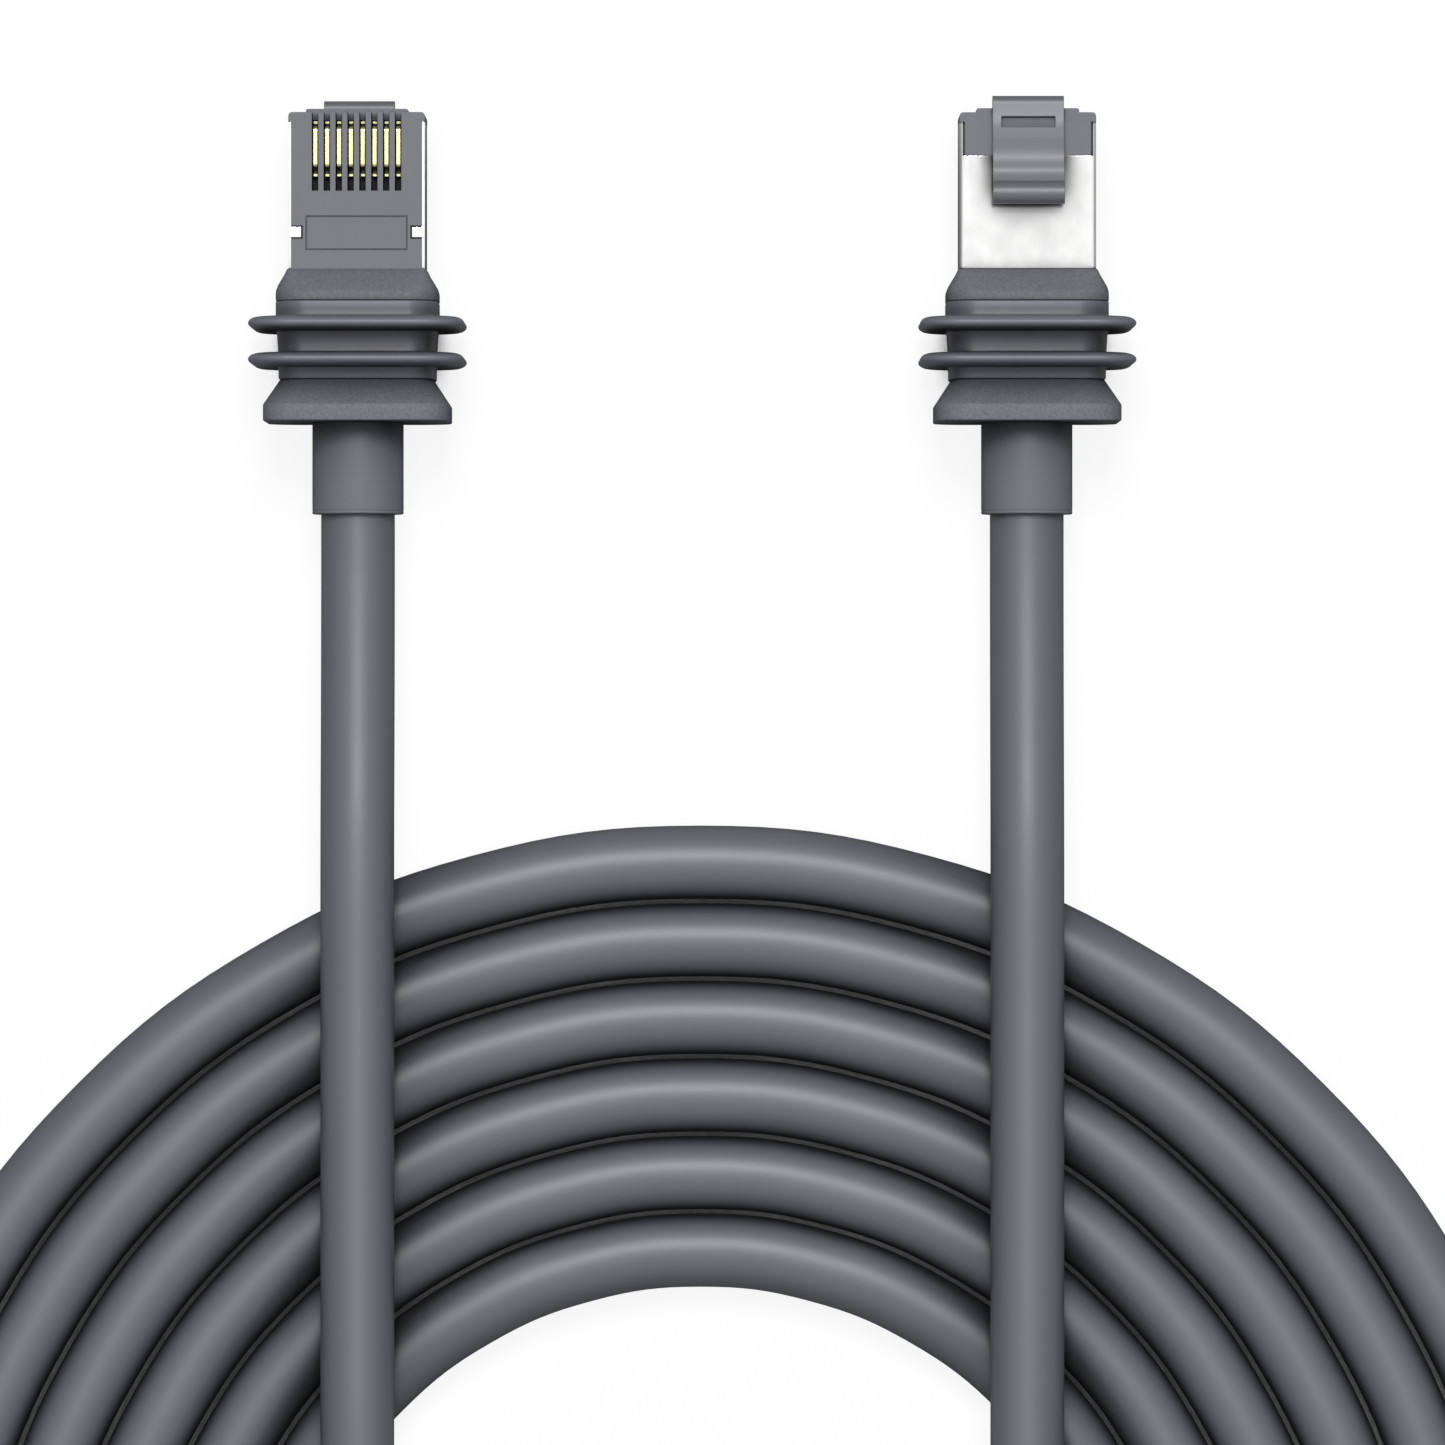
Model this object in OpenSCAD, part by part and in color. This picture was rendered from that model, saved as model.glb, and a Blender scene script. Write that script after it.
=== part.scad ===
// Outdoor shielded ethernet patch cable, coiled flat.
// A round cable joins two eight-way modular plugs, each with a metal shell and a sealing boot.
// A plug is drawn with its axis along Z: its nose is at Z = 0 and its cable leaves towards +Z,
// its contacts face +Y and its latch is on -Y. One plug then lies contacts up, the other latch up.

/* [Cable] */
// Outer diameter of the cable
cable_d = 6.25; // [5.8:0.05:6.6]
// Wall of the cable's jacket
jacket_wall = 0.6; // [0.4:0.05:0.7]
// Thickness of the foil round the pairs
foil_t = 0.08; // [0.05:0.01:0.12]
// Diameter of one insulated conductor
wire_d = 0.98; // [0.8:0.02:1]
// Thickness of the arms of the cross that parts the pairs
cross_t = 0.3; // [0.2:0.05:0.35]

/* [Coil] */
// Times that the cable passes the top of the coil
coil_turns = 6; // [2:1:12]
// Radius of the innermost turn's middle, at the top of the coil
coil_r = 39.5; // [38:0.1:60]
// Space between neighbouring turns
turn_gap = 0.46; // [0.44:0.01:1]
// Distance between the axes of the two plugs
plug_pitch = 57.5; // [50:0.1:62]
// Distance from the middle of the plugs to the middle of the coil
coil_drop = 120.9; // [115:0.1:140]
// Distance of the coil's middle from the line midway between the plugs
coil_shift = 0.7; // [-2:0.1:2]

/* [Plug] */
// Width of the plug over its metal shell
plug_w = 11.7; // [11.4:0.05:12]
// Height of the plug's body
plug_h = 6.6; // [6.3:0.05:7]
// Length of the plug in front of the boot
plug_l = 13.8; // [13:0.1:16]
// Width of the raised middle of the nose
nose_w = 8.8; // [8:0.1:9.4]
// Height of the raised middle of the nose
nose_step = 0.36; // [0.2:0.02:0.5]
// Length of the narrow tail of the housing inside the boot
tail_l = 5.6; // [4:0.1:6]
// Thickness of the tail's side walls
tail_wall = 0.5; // [0.4:0.05:0.6]
// Height of the tail
tail_h = 6; // [5.6:0.1:6.2]

/* [Contacts] */
// Distance between neighbouring contacts
contact_pitch = 1.016; // [1:0.002:1.04]
// Thickness of a contact blade
blade_t = 0.34; // [0.25:0.01:0.4]
// Distance from the nose to the blade's bare top edge
blade_from = 1.56; // [1.4:0.02:1.7]
// Length of the blade's bare top edge
blade_l = 3.56; // [3:0.02:4]
// Depth of the blade's top edge below the comb
blade_sink = 0.58; // [0.4:0.02:0.8]
// Width of a contact slot
slot_w = 0.55; // [0.5:0.01:0.6]
// Length of a contact slot
slot_l = 7.1; // [6.8:0.05:7.5]
// Depth of a contact slot
slot_depth = 2.2; // [2:0.05:2.25]

/* [Shell] */
// Thickness of the sheet metal
shell_t = 0.25; // [0.2:0.01:0.3]
// Distance from the nose to the front of the shell's sides
side_start = 1.2; // [0.8:0.1:2]
// Distance from the nose to the front of the shell's plate
plate_start = 4.1; // [3:0.1:5]
// Width of a folded tab along the plug
tab_w = 0.86; // [0.8:0.02:1.4]
// Reach of a folded tab over the housing
tab_reach = 1.1; // [0.8:0.05:1.3]
// Distance from the nose to the middle of the tabs
tab_at = 10.65; // [9:0.05:12]

/* [Latch] */
// Width of the latch
latch_w = 6.1; // [5.8:0.1:6.6]
// Radius of the latch's rolled root
root_r = 0.7; // [0.6:0.02:0.75]
// Radius of the finger bar at the latch's free end
bar_r = 0.98; // [0.7:0.02:1]
// Thickness of the latch's arm at its free end
arm_t = 0.68; // [0.5:0.02:0.8]
// Running clearance round the root
run_gap = 0.05; // [0.02:0.01:0.08]

/* [Boot] */
// What the collar and the front of the seal add to the plug's width, on each side
collar_side = 1.1; // [1:0.05:1.5]
// What the collar and the front of the seal add to the plug's height, above and below
collar_rise = 2.15; // [2:0.05:2.5]
// Length of the collar
collar_l = 2.75; // [2.5:0.05:4]
// Length of the seal
seal_l = 6.7; // [6.5:0.1:8]
// Taper of the seal from its front to its back, all round
seal_taper = 0.26; // [0.1:0.02:0.4]
// Reach of the seal's lips at the sides
lip_side = 2.55; // [2.2:0.05:3]
// Reach of the seal's lips above and below
lip_rise = 2.81; // [2.4:0.01:3.2]
// Thickness of a lip at its root
lip_t = 1.28; // [1.2:0.02:1.6]
// Radius of a lip's rounded edge
lip_tip = 0.44; // [0.3:0.02:0.5]
// Reach of the flange beyond the seal at the sides
flange_side = 1.28; // [1:0.02:1.6]
// Reach of the flange beyond the seal above and below
flange_rise = 1.95; // [1.6:0.05:2.2]
// Length of the flange
flange_l = 3.6; // [3.2:0.1:5]
// Wall of the strain relief round the cable
sleeve_wall = 0.8; // [0.7:0.05:1.2]
// Length of the strain relief behind the flange
sleeve_l = 7.9; // [6:0.1:12]

/* [Hidden] */
PLUG_PIECES = [
  "plug_housing", "latch", "contacts", "shield_shell", "wire_guide",
  "pair_orange", "pair_green", "pair_blue", "pair_brown", "pair_separator",
  "foil_shield", "shield_braid", "crimp_ring",
  "boot_collar", "boot_flange", "seal", "strain_relief", "jacket_end"
];
$fn = 48;

// Clearance between two pieces that seat in each other
fit = 0.03;
// What a cut runs past the face it opens
over = 0.1;

// Stations along a plug, counted from its nose
collar_end = plug_l + collar_l;
seal_end = collar_end + seal_l;
flange_end = seal_end + flange_l;
plug_end = flange_end + sleeve_l;
body_end = plug_l + 1.6;
housing_end = body_end + tail_l;
crimp_start = housing_end + 0.3;
crimp_end = crimp_start + 3;

// Sections of the boot
collar_w = plug_w + 2 * collar_side;
collar_h = plug_h + 2 * collar_rise;
waist_w = collar_w - 2 * seal_taper;
waist_h = collar_h - 2 * seal_taper;
lip_w = waist_w + 2 * lip_side;
lip_h = waist_h + 2 * lip_rise;
flange_w = waist_w + 2 * flange_side;
flange_h = waist_h + 2 * flange_rise;
sleeve_d = cable_d + 2 * sleeve_wall;

// The plugs lie on their lips, with the middle of their length at Y = 0
plug_z = lip_h / 2;
root_z = -0.3;
root_y = -(plug_h / 2 + 0.25);
nose_y = (plug_end + root_z - root_r) / 2;
plug_x = plug_pitch / 2;

// Housing
housing_w = plug_w - 2 * shell_t;
tab_notch_depth = 0.7;
tab_gap = 0.13;
slot_floor = plug_h / 2 - slot_depth;
sill_l = 1;
sill_y = plug_h / 2 - 1.4;
nose_slope = 0.55;
seat_half = latch_w / 2 + 0.1;
seat_chamfer = 0.1;
plate_w = 8.73;
plate_l = 2.95;
plate_at = 9.24;
groove = 0.12;

// Conductors: the upper row holds the odd contacts and the lower row the even ones
wire_rows = [0.3, -0.55];
wire_front = 1.9;
guide_start = 5.6;
guide_end = 11.2;
guide_wall = 0.15;
guide_w = 7 * contact_pitch + wire_d + 2 * guide_wall;
guide_h = wire_rows[0] - wire_rows[1] + wire_d + 2 * guide_wall;
guide_y = (wire_rows[0] + wire_rows[1]) / 2;
cavity_w = 7 * contact_pitch + wire_d + 1.1;
cavity_h = 4.6;
tail_w = cavity_w + 2 * tail_wall;
spread_start = guide_end + 0.6;
spread_mid = spread_start + 4.4;
spread_end = spread_mid + 4.4;
bore_d = wire_d + 2 * fit;
core_d = cable_d - 2 * jacket_wall;
// Half the distance between a pair's two conductors, and the pair's distance from the cable's axis:
// between touching the cross and touching the foil, nearer to the cross
pair_half = wire_d / 2 + 0.06;
pair_near = pair_half + (wire_d + cross_t) / sqrt(2);
pair_far = sqrt(pow((core_d - wire_d) / 2 - foil_t - fit, 2) - pow(pair_half, 2));
pair_r = (3 * pair_near + pair_far) / 4;

// A blade's square shoulders stand before and behind its bare edge
shoulder_out = 0.46;
shoulder_t = 0.2;
shoulder_h = 0.9;

// Shield
braid_t = 0.28;
ring_t = 0.38;
ring_d = cable_d + 2 * (braid_t + ring_t) + 4 * fit;

// Boot
collar_ridge = 2.05;
collar_knee = 1.38;
core_w = waist_w - 1.05;
core_h = waist_h - 1.3;
core_r = 1.8;
spigot_d = cable_d + 0.8;
lip_at = [collar_end + 1.83, collar_end + 4.95];
flange_ridge = 2.2;

// Cable: heights of its middle on the surface and on the coil
low_z = cable_d / 2;
high_z = 1.5 * cable_d + 0.2;

function contact_x(i) = (i - 3.5) * contact_pitch;
function wire_row(i) = wire_rows[i % 2];

// ---------- plain shapes ----------

module rounded(w, h, r) {
  square([w - 2 * r, h], center = true);
  square([w, h - 2 * r], center = true);
  for (x = [-1, 1], y = [-1, 1])
    translate([x * (w / 2 - r), y * (h / 2 - r)])
      circle(r);
}

module slab(from, to, w, h, r) {
  translate([0, 0, from])
    linear_extrude(to - from)
      rounded(w, h, r);
}

module block(x, y, z) {
  translate([x[0], y[0], z[0]])
    cube([x[1] - x[0], y[1] - y[0], z[1] - z[0]]);
}

module tube(outer, inner, from, to) {
  translate([0, 0, from])
    difference() {
      cylinder(h = to - from, d = outer);
      translate([0, 0, -over])
        cylinder(h = to - from + 2 * over, d = inner);
    }
}

// Turns a profile drawn in (depth, height) so that it lies along the plug, across its width
module across(w) {
  rotate([0, -90, 0])
    linear_extrude(w, center = true)
      children();
}

// ---------- plug ----------

module nose_plan() {
  rounded_front(nose_w, 0, 0.2);
  rounded_front(plug_w, nose_step, 0.35);
}

module rounded_front(w, from, r) {
  translate([-w / 2 + r, from])
    square([w - 2 * r, side_start - from]);
  translate([-w / 2, from + r])
    square([w, side_start - from - r]);
  for (x = [-1, 1])
    translate([x * (w / 2 - r), from + r])
      circle(r);
}

module housing_block() {
  top = plug_h / 2;
  translate([0, top, 0])
    rotate([90, 0, 0])
      linear_extrude(plug_h)
        nose_plan();
  block([-housing_w / 2, housing_w / 2], [-top + shell_t + fit, top], [side_start, body_end]);
  block([-housing_w / 2 + 0.2, housing_w / 2 - 0.2], [-top, top], [side_start, plate_start - fit]);
  slab(body_end - over, housing_end, tail_w, tail_h, 0.3);
}

// The slot of each contact, its sill at the nose, and the pocket that the blade's legs go down.
// The raised middle of the nose ends at the sill, below the comb.
module contact_cuts() {
  top = plug_h / 2;
  block([-nose_w / 2 - over, nose_w / 2 + over], [sill_y, top + over], [-over, nose_step]);
  for (i = [0:7]) {
    x = contact_x(i);
    block([x - slot_w / 2, x + slot_w / 2], [slot_floor, top + over], [sill_l, slot_l]);
    block([x - slot_w / 2, x + slot_w / 2], [sill_y, top + over], [-over, sill_l + over]);
    pocket = blade_t / 2 + fit;
    block([x - pocket, x + pocket], [wire_row(i), slot_floor + over], [2, 4.5]);
    translate([x, wire_row(i), wire_front - 0.1])
      cylinder(h = guide_start, d = bore_d);
  }
}

module tab_cuts() {
  top = plug_h / 2;
  half = tab_w / 2 + tab_gap;
  inner = plug_w / 2 - tab_reach - tab_gap;
  for (side = [-1, 1])
    block(
      side > 0 ? [inner, plug_w / 2 + over] : [-plug_w / 2 - over, -inner],
      [top - tab_notch_depth, top + over], [tab_at - half, tab_at + half]
    );
}

// A fine groove round the bare plate behind the contacts
module plate_groove() {
  translate([0, plug_h / 2 + over, plate_at + plate_l / 2])
    rotate([90, 0, 0])
      linear_extrude(groove + over)
        difference() {
          square([plate_w, plate_l], center = true);
          square([plate_w - 2 * groove, plate_l - 2 * groove], center = true);
        }
}

// The nose slopes off on both sides of the latch. Between the slopes the latch's root turns in a round
// seat, whose front edge is chamfered so that the root stays below the nose face.
module latch_cuts() {
  low = -plug_h / 2;
  seat_top = root_y + root_r + run_gap;
  for (side = [-1, 1])
    translate([side * (seat_half + plug_w / 2), 0, 0])
      across(plug_w)
        polygon([
          [-over, low - over], [side_start, low - over],
          [side_start, low], [-over, low + nose_slope]
        ]);
  across(2 * seat_half) {
    translate([root_z, root_y])
      circle(root_r + run_gap);
    polygon([
      [-over, root_y], [seat_chamfer, root_y],
      [seat_chamfer, seat_top - seat_chamfer], [-over, seat_top + over]
    ]);
  }
}

module plug_housing() {
  color("slategray")
    difference() {
      housing_block();
      contact_cuts();
      tab_cuts();
      plate_groove();
      latch_cuts();
      translate([0, guide_y, 0])
        slab(guide_start, guide_end + 0.1, guide_w + 2 * fit, guide_h + 2 * fit, 0.2);
      slab(guide_end, housing_end + over, cavity_w, cavity_h, 0.6);
    }
}

module wire_guide() {
  color("whitesmoke")
    difference() {
      translate([0, guide_y, 0])
        slab(guide_start + fit, guide_end, guide_w, guide_h, 0.2);
      for (i = [0:7])
        translate([contact_x(i), wire_row(i), 0])
          cylinder(h = guide_end + over, d = bore_d);
    }
}

// A contact blade in (depth, height): a bare top edge, a base with a shoulder at each end, two sharp legs
module blade_profile(tip) {
  top = plug_h / 2 - blade_sink;
  start = blade_from;
  end = start + blade_l;
  seat = slot_floor + fit;
  r = 0.35;
  translate([start, seat])
    square([blade_l, top - seat - r]);
  translate([start + r, seat])
    square([blade_l - 2 * r, top - seat]);
  for (z = [start + r, end - r])
    translate([z, top - r])
      circle(r);
  translate([start - shoulder_out, seat])
    square([blade_l + 2 * shoulder_out + 0.22, 0.4]);
  for (z = [start - shoulder_out, end + shoulder_out + 0.02])
    translate([z, seat])
      square([shoulder_t, shoulder_h]);
  knee = tip + min(0.3, (seat - tip) / 2);
  for (z = [start + 0.76, start + 2.16])
    translate([z, 0])
      polygon([[0, seat + 0.2], [0, knee], [0.25, tip], [0.5, knee], [0.5, seat + 0.2]]);
}

module contacts() {
  color("gold")
    for (i = [0:7])
      translate([contact_x(i), 0, 0])
        across(blade_t)
          blade_profile(wire_row(i) + wire_d / 2 + fit);
}

// ---------- metal shell ----------

module shell_section() {
  half = plug_w / 2;
  low = -plug_h / 2;
  r = 0.4;
  difference() {
    union() {
      translate([-half + r, low])
        square([plug_w - 2 * r, plug_h]);
      translate([-half, low + r])
        square([plug_w, plug_h - r]);
      for (x = [-1, 1])
        translate([x * (half - r), low + r])
          circle(r);
    }
    translate([-half + shell_t, low + shell_t])
      square([plug_w - 2 * shell_t, plug_h]);
  }
}

// A tab folds from the side's upper edge over the housing
module tab_section() {
  half = plug_w / 2;
  top = plug_h / 2;
  translate([half - tab_reach, top - shell_t])
    square([tab_reach, shell_t]);
}

module shield_shell() {
  low = -plug_h / 2;
  top = plug_h / 2;
  color("silver") {
    difference() {
      translate([0, 0, side_start + fit])
        linear_extrude(body_end - 0.2 - side_start)
          shell_section();
      block(
        [-housing_w / 2, housing_w / 2], [low - over, low + shell_t + over],
        [side_start, plate_start]
      );
    }
    for (side = [0, 1])
      mirror([side, 0, 0])
        translate([0, 0, tab_at - tab_w / 2])
          linear_extrude(tab_w)
            tab_section();
    block([-2.5, 2.5], [low, low + shell_t], [body_end - 1, housing_end]);
  }
}

// ---------- latch ----------

// Middle line of the latch's arm in (depth, height), with its thickness. The arm leaves the top of its
// rolled root, rises to a low hump and dips before the finger bar.
arm_root_t = arm_t - 0.08;
arm_root_y = root_y - root_r + arm_root_t / 2;
LATCH_KNOTS = [
  [root_z, arm_root_y, arm_root_t], [1.2, arm_root_y - 0.15, arm_root_t],
  [2.6, arm_root_y - 0.56, arm_root_t], [4.3, arm_root_y - 1.1, arm_t],
  [5.7, arm_root_y - 1.18, arm_t], [7.4, root_y - 2.33, arm_t]
];

function spline(a, b, c, d, t) =
  0.5 * (2 * b + (c - a) * t + (2 * a - 5 * b + 4 * c - d) * t * t + (3 * b - a - 3 * c + d) * t * t * t);

function smooth(knots, steps) = [
  for (i = [0:len(knots) - 2], j = [0:steps - 1])
    spline(
      knots[max(i - 1, 0)], knots[i], knots[i + 1], knots[min(i + 2, len(knots) - 1)], j / steps
    ),
  knots[len(knots) - 1]
];

function ahead(line, i) = let (d = line[min(i + 1, len(line) - 1)] - line[max(i - 1, 0)])
  [d.x, d.y] / norm([d.x, d.y]);

function edge(line, side) = [
  for (i = [0:len(line) - 1])
    let (d = ahead(line, i)) [line[i].x, line[i].y] + side * line[i].z / 2 * [-d.y, d.x]
];

function reversed(list) = [for (i = [len(list) - 1:-1:0]) list[i]];

// The recess behind the root is deepest at its front
recess_from = 0.6;
recess_to = 1.8;

module latch() {
  line = smooth(LATCH_KNOTS, 8);
  last = LATCH_KNOTS[len(LATCH_KNOTS) - 1];
  recess = [
    for (p = line) if (p.x > recess_from && p.x < recess_to)
      [p.x, p.y - p.z / 2 + 0.42 - 0.3 * (p.x - recess_from) / (recess_to - recess_from)]
  ];
  color("slategray")
    difference() {
      across(latch_w) {
        polygon(concat(edge(line, -1), reversed(edge(line, 1))));
        translate([root_z, root_y])
          circle(root_r);
        translate([last.x, last.y])
          circle(bar_r);
      }
      across(latch_w - 1.5)
        polygon(concat([[recess[0].x, -9], [recess[len(recess) - 1].x, -9]], reversed(recess)));
    }
}

// ---------- conductors, cross and shields ----------

// The two conductors of a pair: each runs straight in the cable, moves sideways, then up or down,
// and ends in the housing under its contact
PAIRS = [
  ["orange", [-1, 0], [0, 1]], ["green", [0, 1], [2, 5]],
  ["blue", [0, -1], [3, 4]], ["brown", [1, 0], [6, 7]]
];

// A smooth step from 0 to 1 between two stations
function eased(z, from, to) =
  let (t = min(1, max(0, (z - from) / (to - from)))) t * t * (3 - 2 * t);

function conductor_line(start, end) = [
  for (z = concat(
    [wire_front, guide_start, spread_start],
    [for (k = [1:11]) spread_start + (spread_end - spread_start) * k / 12],
    [spread_end, plug_end]
  )) [
    end.x + (start.x - end.x) * eased(z, spread_mid, spread_end),
    end.y + (start.y - end.y) * eased(z, spread_start, spread_mid),
    z
  ]
];

module pair(number) {
  side = PAIRS[number][1];
  for (k = [0, 1]) {
    i = PAIRS[number][2][k];
    hand = k == 0 ? 1 : -1;
    start = side.x == 0 ? [-hand * pair_half, side.y * pair_r] : [side.x * pair_r, hand * pair_half];
    sweep(conductor_line(start, [contact_x(i), wire_row(i)]), round_section(wire_d, 8), [0, 1, 0]);
  }
}

module pair_separator() {
  reach = core_d - 2 * foil_t - 0.16;
  color("ivory")
    translate([0, 0, spread_end])
      linear_extrude(plug_end - spread_end)
        for (turn = [45, 135])
          rotate(turn)
            square([reach, cross_t], center = true);
}

module foil_shield() {
  outer = core_d - 2 * fit;
  color("lightsteelblue")
    tube(outer, outer - 2 * foil_t, housing_end + 0.1, plug_end);
}

module shield_braid() {
  inner = cable_d + 2 * fit;
  color("lightgray")
    tube(inner + 2 * braid_t, inner, crimp_start + 0.15, crimp_end);
}

module crimp_ring() {
  color("darkgray")
    tube(ring_d, ring_d - 2 * ring_t, crimp_start, crimp_end);
}

module jacket_end() {
  color("dimgray")
    tube(cable_d, core_d, crimp_start, plug_end);
}

// ---------- boot ----------

module collar_sections() {
  hull() {
    slab(plug_l, plug_l + 0.05, plug_w + 0.4, plug_h + 0.4, 0.3, $fn = 32);
    slab(plug_l + collar_knee, plug_l + collar_knee + 0.05, collar_w - 0.6, collar_h - 1.2, 1.5, $fn = 32);
    slab(plug_l + collar_ridge, plug_l + collar_ridge + 0.05, collar_w, collar_h, 2.3, $fn = 32);
  }
}

module tail_pocket(from, to) {
  low = -plug_h / 2 - fit;
  block([-tail_w / 2 - fit, tail_w / 2 + fit], [low, tail_h / 2 + fit], [from, to]);
}

module boot_collar() {
  color("dimgray")
    difference() {
      union() {
        collar_sections();
        slab(plug_l + collar_ridge, collar_end, collar_w, collar_h, 2.3);
      }
      slab(plug_l - over, body_end + 0.05, plug_w + 2 * fit, plug_h + 2 * fit, 0.05);
      tail_pocket(body_end, collar_end + over);
    }
}

module boot_flange() {
  ridge = seal_end + flange_ridge;
  color("dimgray")
    difference() {
      union() {
        slab(collar_end, seal_end + 0.5, core_w, core_h, core_r);
        hull() {
          slab(seal_end, seal_end + 0.05, waist_w - 0.2, waist_h - 0.1, 2, $fn = 32);
          slab(ridge - 0.15, ridge - 0.1, flange_w - 0.12, flange_h - 0.18, 2.7, $fn = 32);
          slab(ridge + 0.1, ridge + 0.15, flange_w, flange_h, 2.75, $fn = 32);
        }
        slab(ridge + 0.1, flange_end, flange_w, flange_h, 2.75);
      }
      tail_pocket(collar_end - over, housing_end + 0.1);
      translate([0, 0, housing_end])
        cylinder(h = crimp_end + fit - housing_end, d = ring_d + 2 * fit);
      translate([0, 0, crimp_end])
        cylinder(h = plug_end, d = spigot_d + 2 * fit);
    }
}

// Half of a lip's lens section: its root lies at X = 0 and its rounded tip at X = reach
module lip_section(reach) {
  long = reach - lip_tip;
  bow = (long * long + pow(lip_t / 2 - lip_tip, 2)) / (lip_t - 2 * lip_tip);
  intersection() {
    translate([0, lip_t / 2 - bow])
      circle(bow, $fn = 96);
    translate([0, bow - lip_t / 2])
      circle(bow, $fn = 96);
    translate([-1, -lip_t])
      square([long + 1, 2 * lip_t]);
  }
  translate([long, 0])
    circle(lip_tip);
}

// A lip runs round the seal: straight along the four sides and round the four corners
module lip() {
  corner = 3.5;
  reach = 2.35;
  half_w = lip_w / 2 - corner;
  half_h = lip_h / 2 - corner;
  for (x = [0, 1], y = [0, 1])
    mirror([x, 0, 0])
      mirror([0, y, 0])
        translate([half_w, half_h, 0])
          rotate_extrude(angle = 90)
            translate([corner - reach, 0])
              lip_section(reach);
  for (x = [0, 1])
    mirror([x, 0, 0])
      translate([lip_w / 2 - reach, 0, 0])
        rotate([90, 0, 0])
          linear_extrude(2 * half_h, center = true)
            lip_section(reach);
  for (y = [0, 1])
    mirror([0, y, 0])
      translate([0, lip_h / 2 - reach, 0])
        rotate([90, 0, 90])
          linear_extrude(2 * half_w, center = true)
            lip_section(reach);
}

module seal() {
  front = collar_end + 1.4;
  back = collar_end + 4.9;
  color("darkslategray")
    difference() {
      union() {
        slab(collar_end, front + 0.05, collar_w, collar_h, 2.3);
        hull() {
          slab(front, front + 0.05, collar_w - 0.1, collar_h - 0.1, 2.3, $fn = 32);
          slab(back, back + 0.05, waist_w, waist_h, 2.1, $fn = 32);
        }
        slab(back, seal_end, waist_w, waist_h, 2.1);
        for (z = lip_at)
          translate([0, 0, z])
            lip();
      }
      slab(collar_end - over, seal_end + over, core_w + 2 * fit, core_h + 2 * fit, core_r);
    }
}

// A sleeve against the flange's back, with a spigot in the flange and a fine chamfer at its end
module strain_relief() {
  rim = 0.15;
  color("dimgray")
    difference() {
      union() {
        translate([0, 0, crimp_end + 2 * fit])
          cylinder(h = flange_end - crimp_end, d = spigot_d);
        translate([0, 0, flange_end])
          cylinder(h = sleeve_l - rim, d = sleeve_d);
        translate([0, 0, plug_end - rim])
          cylinder(h = rim, d1 = sleeve_d, d2 = sleeve_d - 2 * rim);
      }
      translate([0, 0, crimp_end])
        cylinder(h = plug_end, d = cable_d + 2 * fit);
    }
}

// ---------- cable ----------

// A tube swept along a line: a ring of the section at each point, square to the line
function unit(v) = v / norm(v);
function forward(line, i) =
  i == 0 ? unit(line[1] - line[0]) :
  i == len(line) - 1 ? unit(line[i] - line[i - 1]) :
  unit(unit(line[i + 1] - line[i]) + unit(line[i] - line[i - 1]));
function ring(line, i, section, upright = [0, 0, 1]) =
  let (f = forward(line, i), side = unit(cross(f, upright)), up = cross(side, f))
  [for (p = section) line[i] + side * p.x + up * p.y];

module sweep(line, section, upright = [0, 0, 1]) {
  n = len(section);
  last = (len(line) - 1) * n;
  points = [for (i = [0:len(line) - 1], p = ring(line, i, section, upright)) p];
  walls = [
    for (i = [0:len(line) - 2], j = [0:n - 1])
      let (a = i * n + j, b = i * n + (j + 1) % n)
        each [[a, b, a + n], [b, b + n, a + n]]
  ];
  caps = [
    for (j = [1:n - 2])
      each [[0, j + 1, j], [last, last + j, last + j + 1]]
  ];
  polyhedron(points, concat(walls, caps));
}

function round_section(d, sides) =
  [for (i = [0:sides - 1]) let (a = (i + 0.5) * 360 / sides) d / 2 * [cos(a), sin(a)]];

// Six sides, flat below and above, as wide and as high as the cable
flat_half = 0.26 * cable_d;
coil_section = [
  [cable_d / 2, 0], [flat_half, cable_d / 2], [-flat_half, cable_d / 2],
  [-cable_d / 2, 0], [-flat_half, -cable_d / 2], [flat_half, -cable_d / 2]
];

// The coil winds outwards anticlockwise. Over the top its turns are round, and each steps out to the next
// along the bottom. Its inner end is tucked towards the hole.
turn_pitch = cable_d + turn_gap;
rings_per_turn = 24;
step = 360 / rings_per_turn;
coil_from = -75;
coil_to = 180 + 360 * (coil_turns - 1);
step_from = 165;
step_angle = 210;
tuck = 2;
tuck_angle = 45;

function tucked(a) = tuck * pow(max(0, 1 - (a - coil_from) / tuck_angle), 2);
function turns_out(a) = let (t = (a - step_from) / 360)
  floor(t) + eased(t - floor(t), 0, step_angle / 360);
function coil_radius(a) = coil_r + turn_pitch * turns_out(a) - tucked(a);
function coil_point(a) =
  [coil_shift, -coil_drop, low_z] + coil_radius(a) * [cos(a), sin(a), 0];

coil_line = [for (a = [coil_from:step:coil_to]) coil_point(a)];
coil_start = coil_line[0];
coil_end = coil_line[len(coil_line) - 1];
start_way = unit(coil_line[1] - coil_start);
end_way = unit(coil_end - coil_line[len(coil_line) - 2]);

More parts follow.
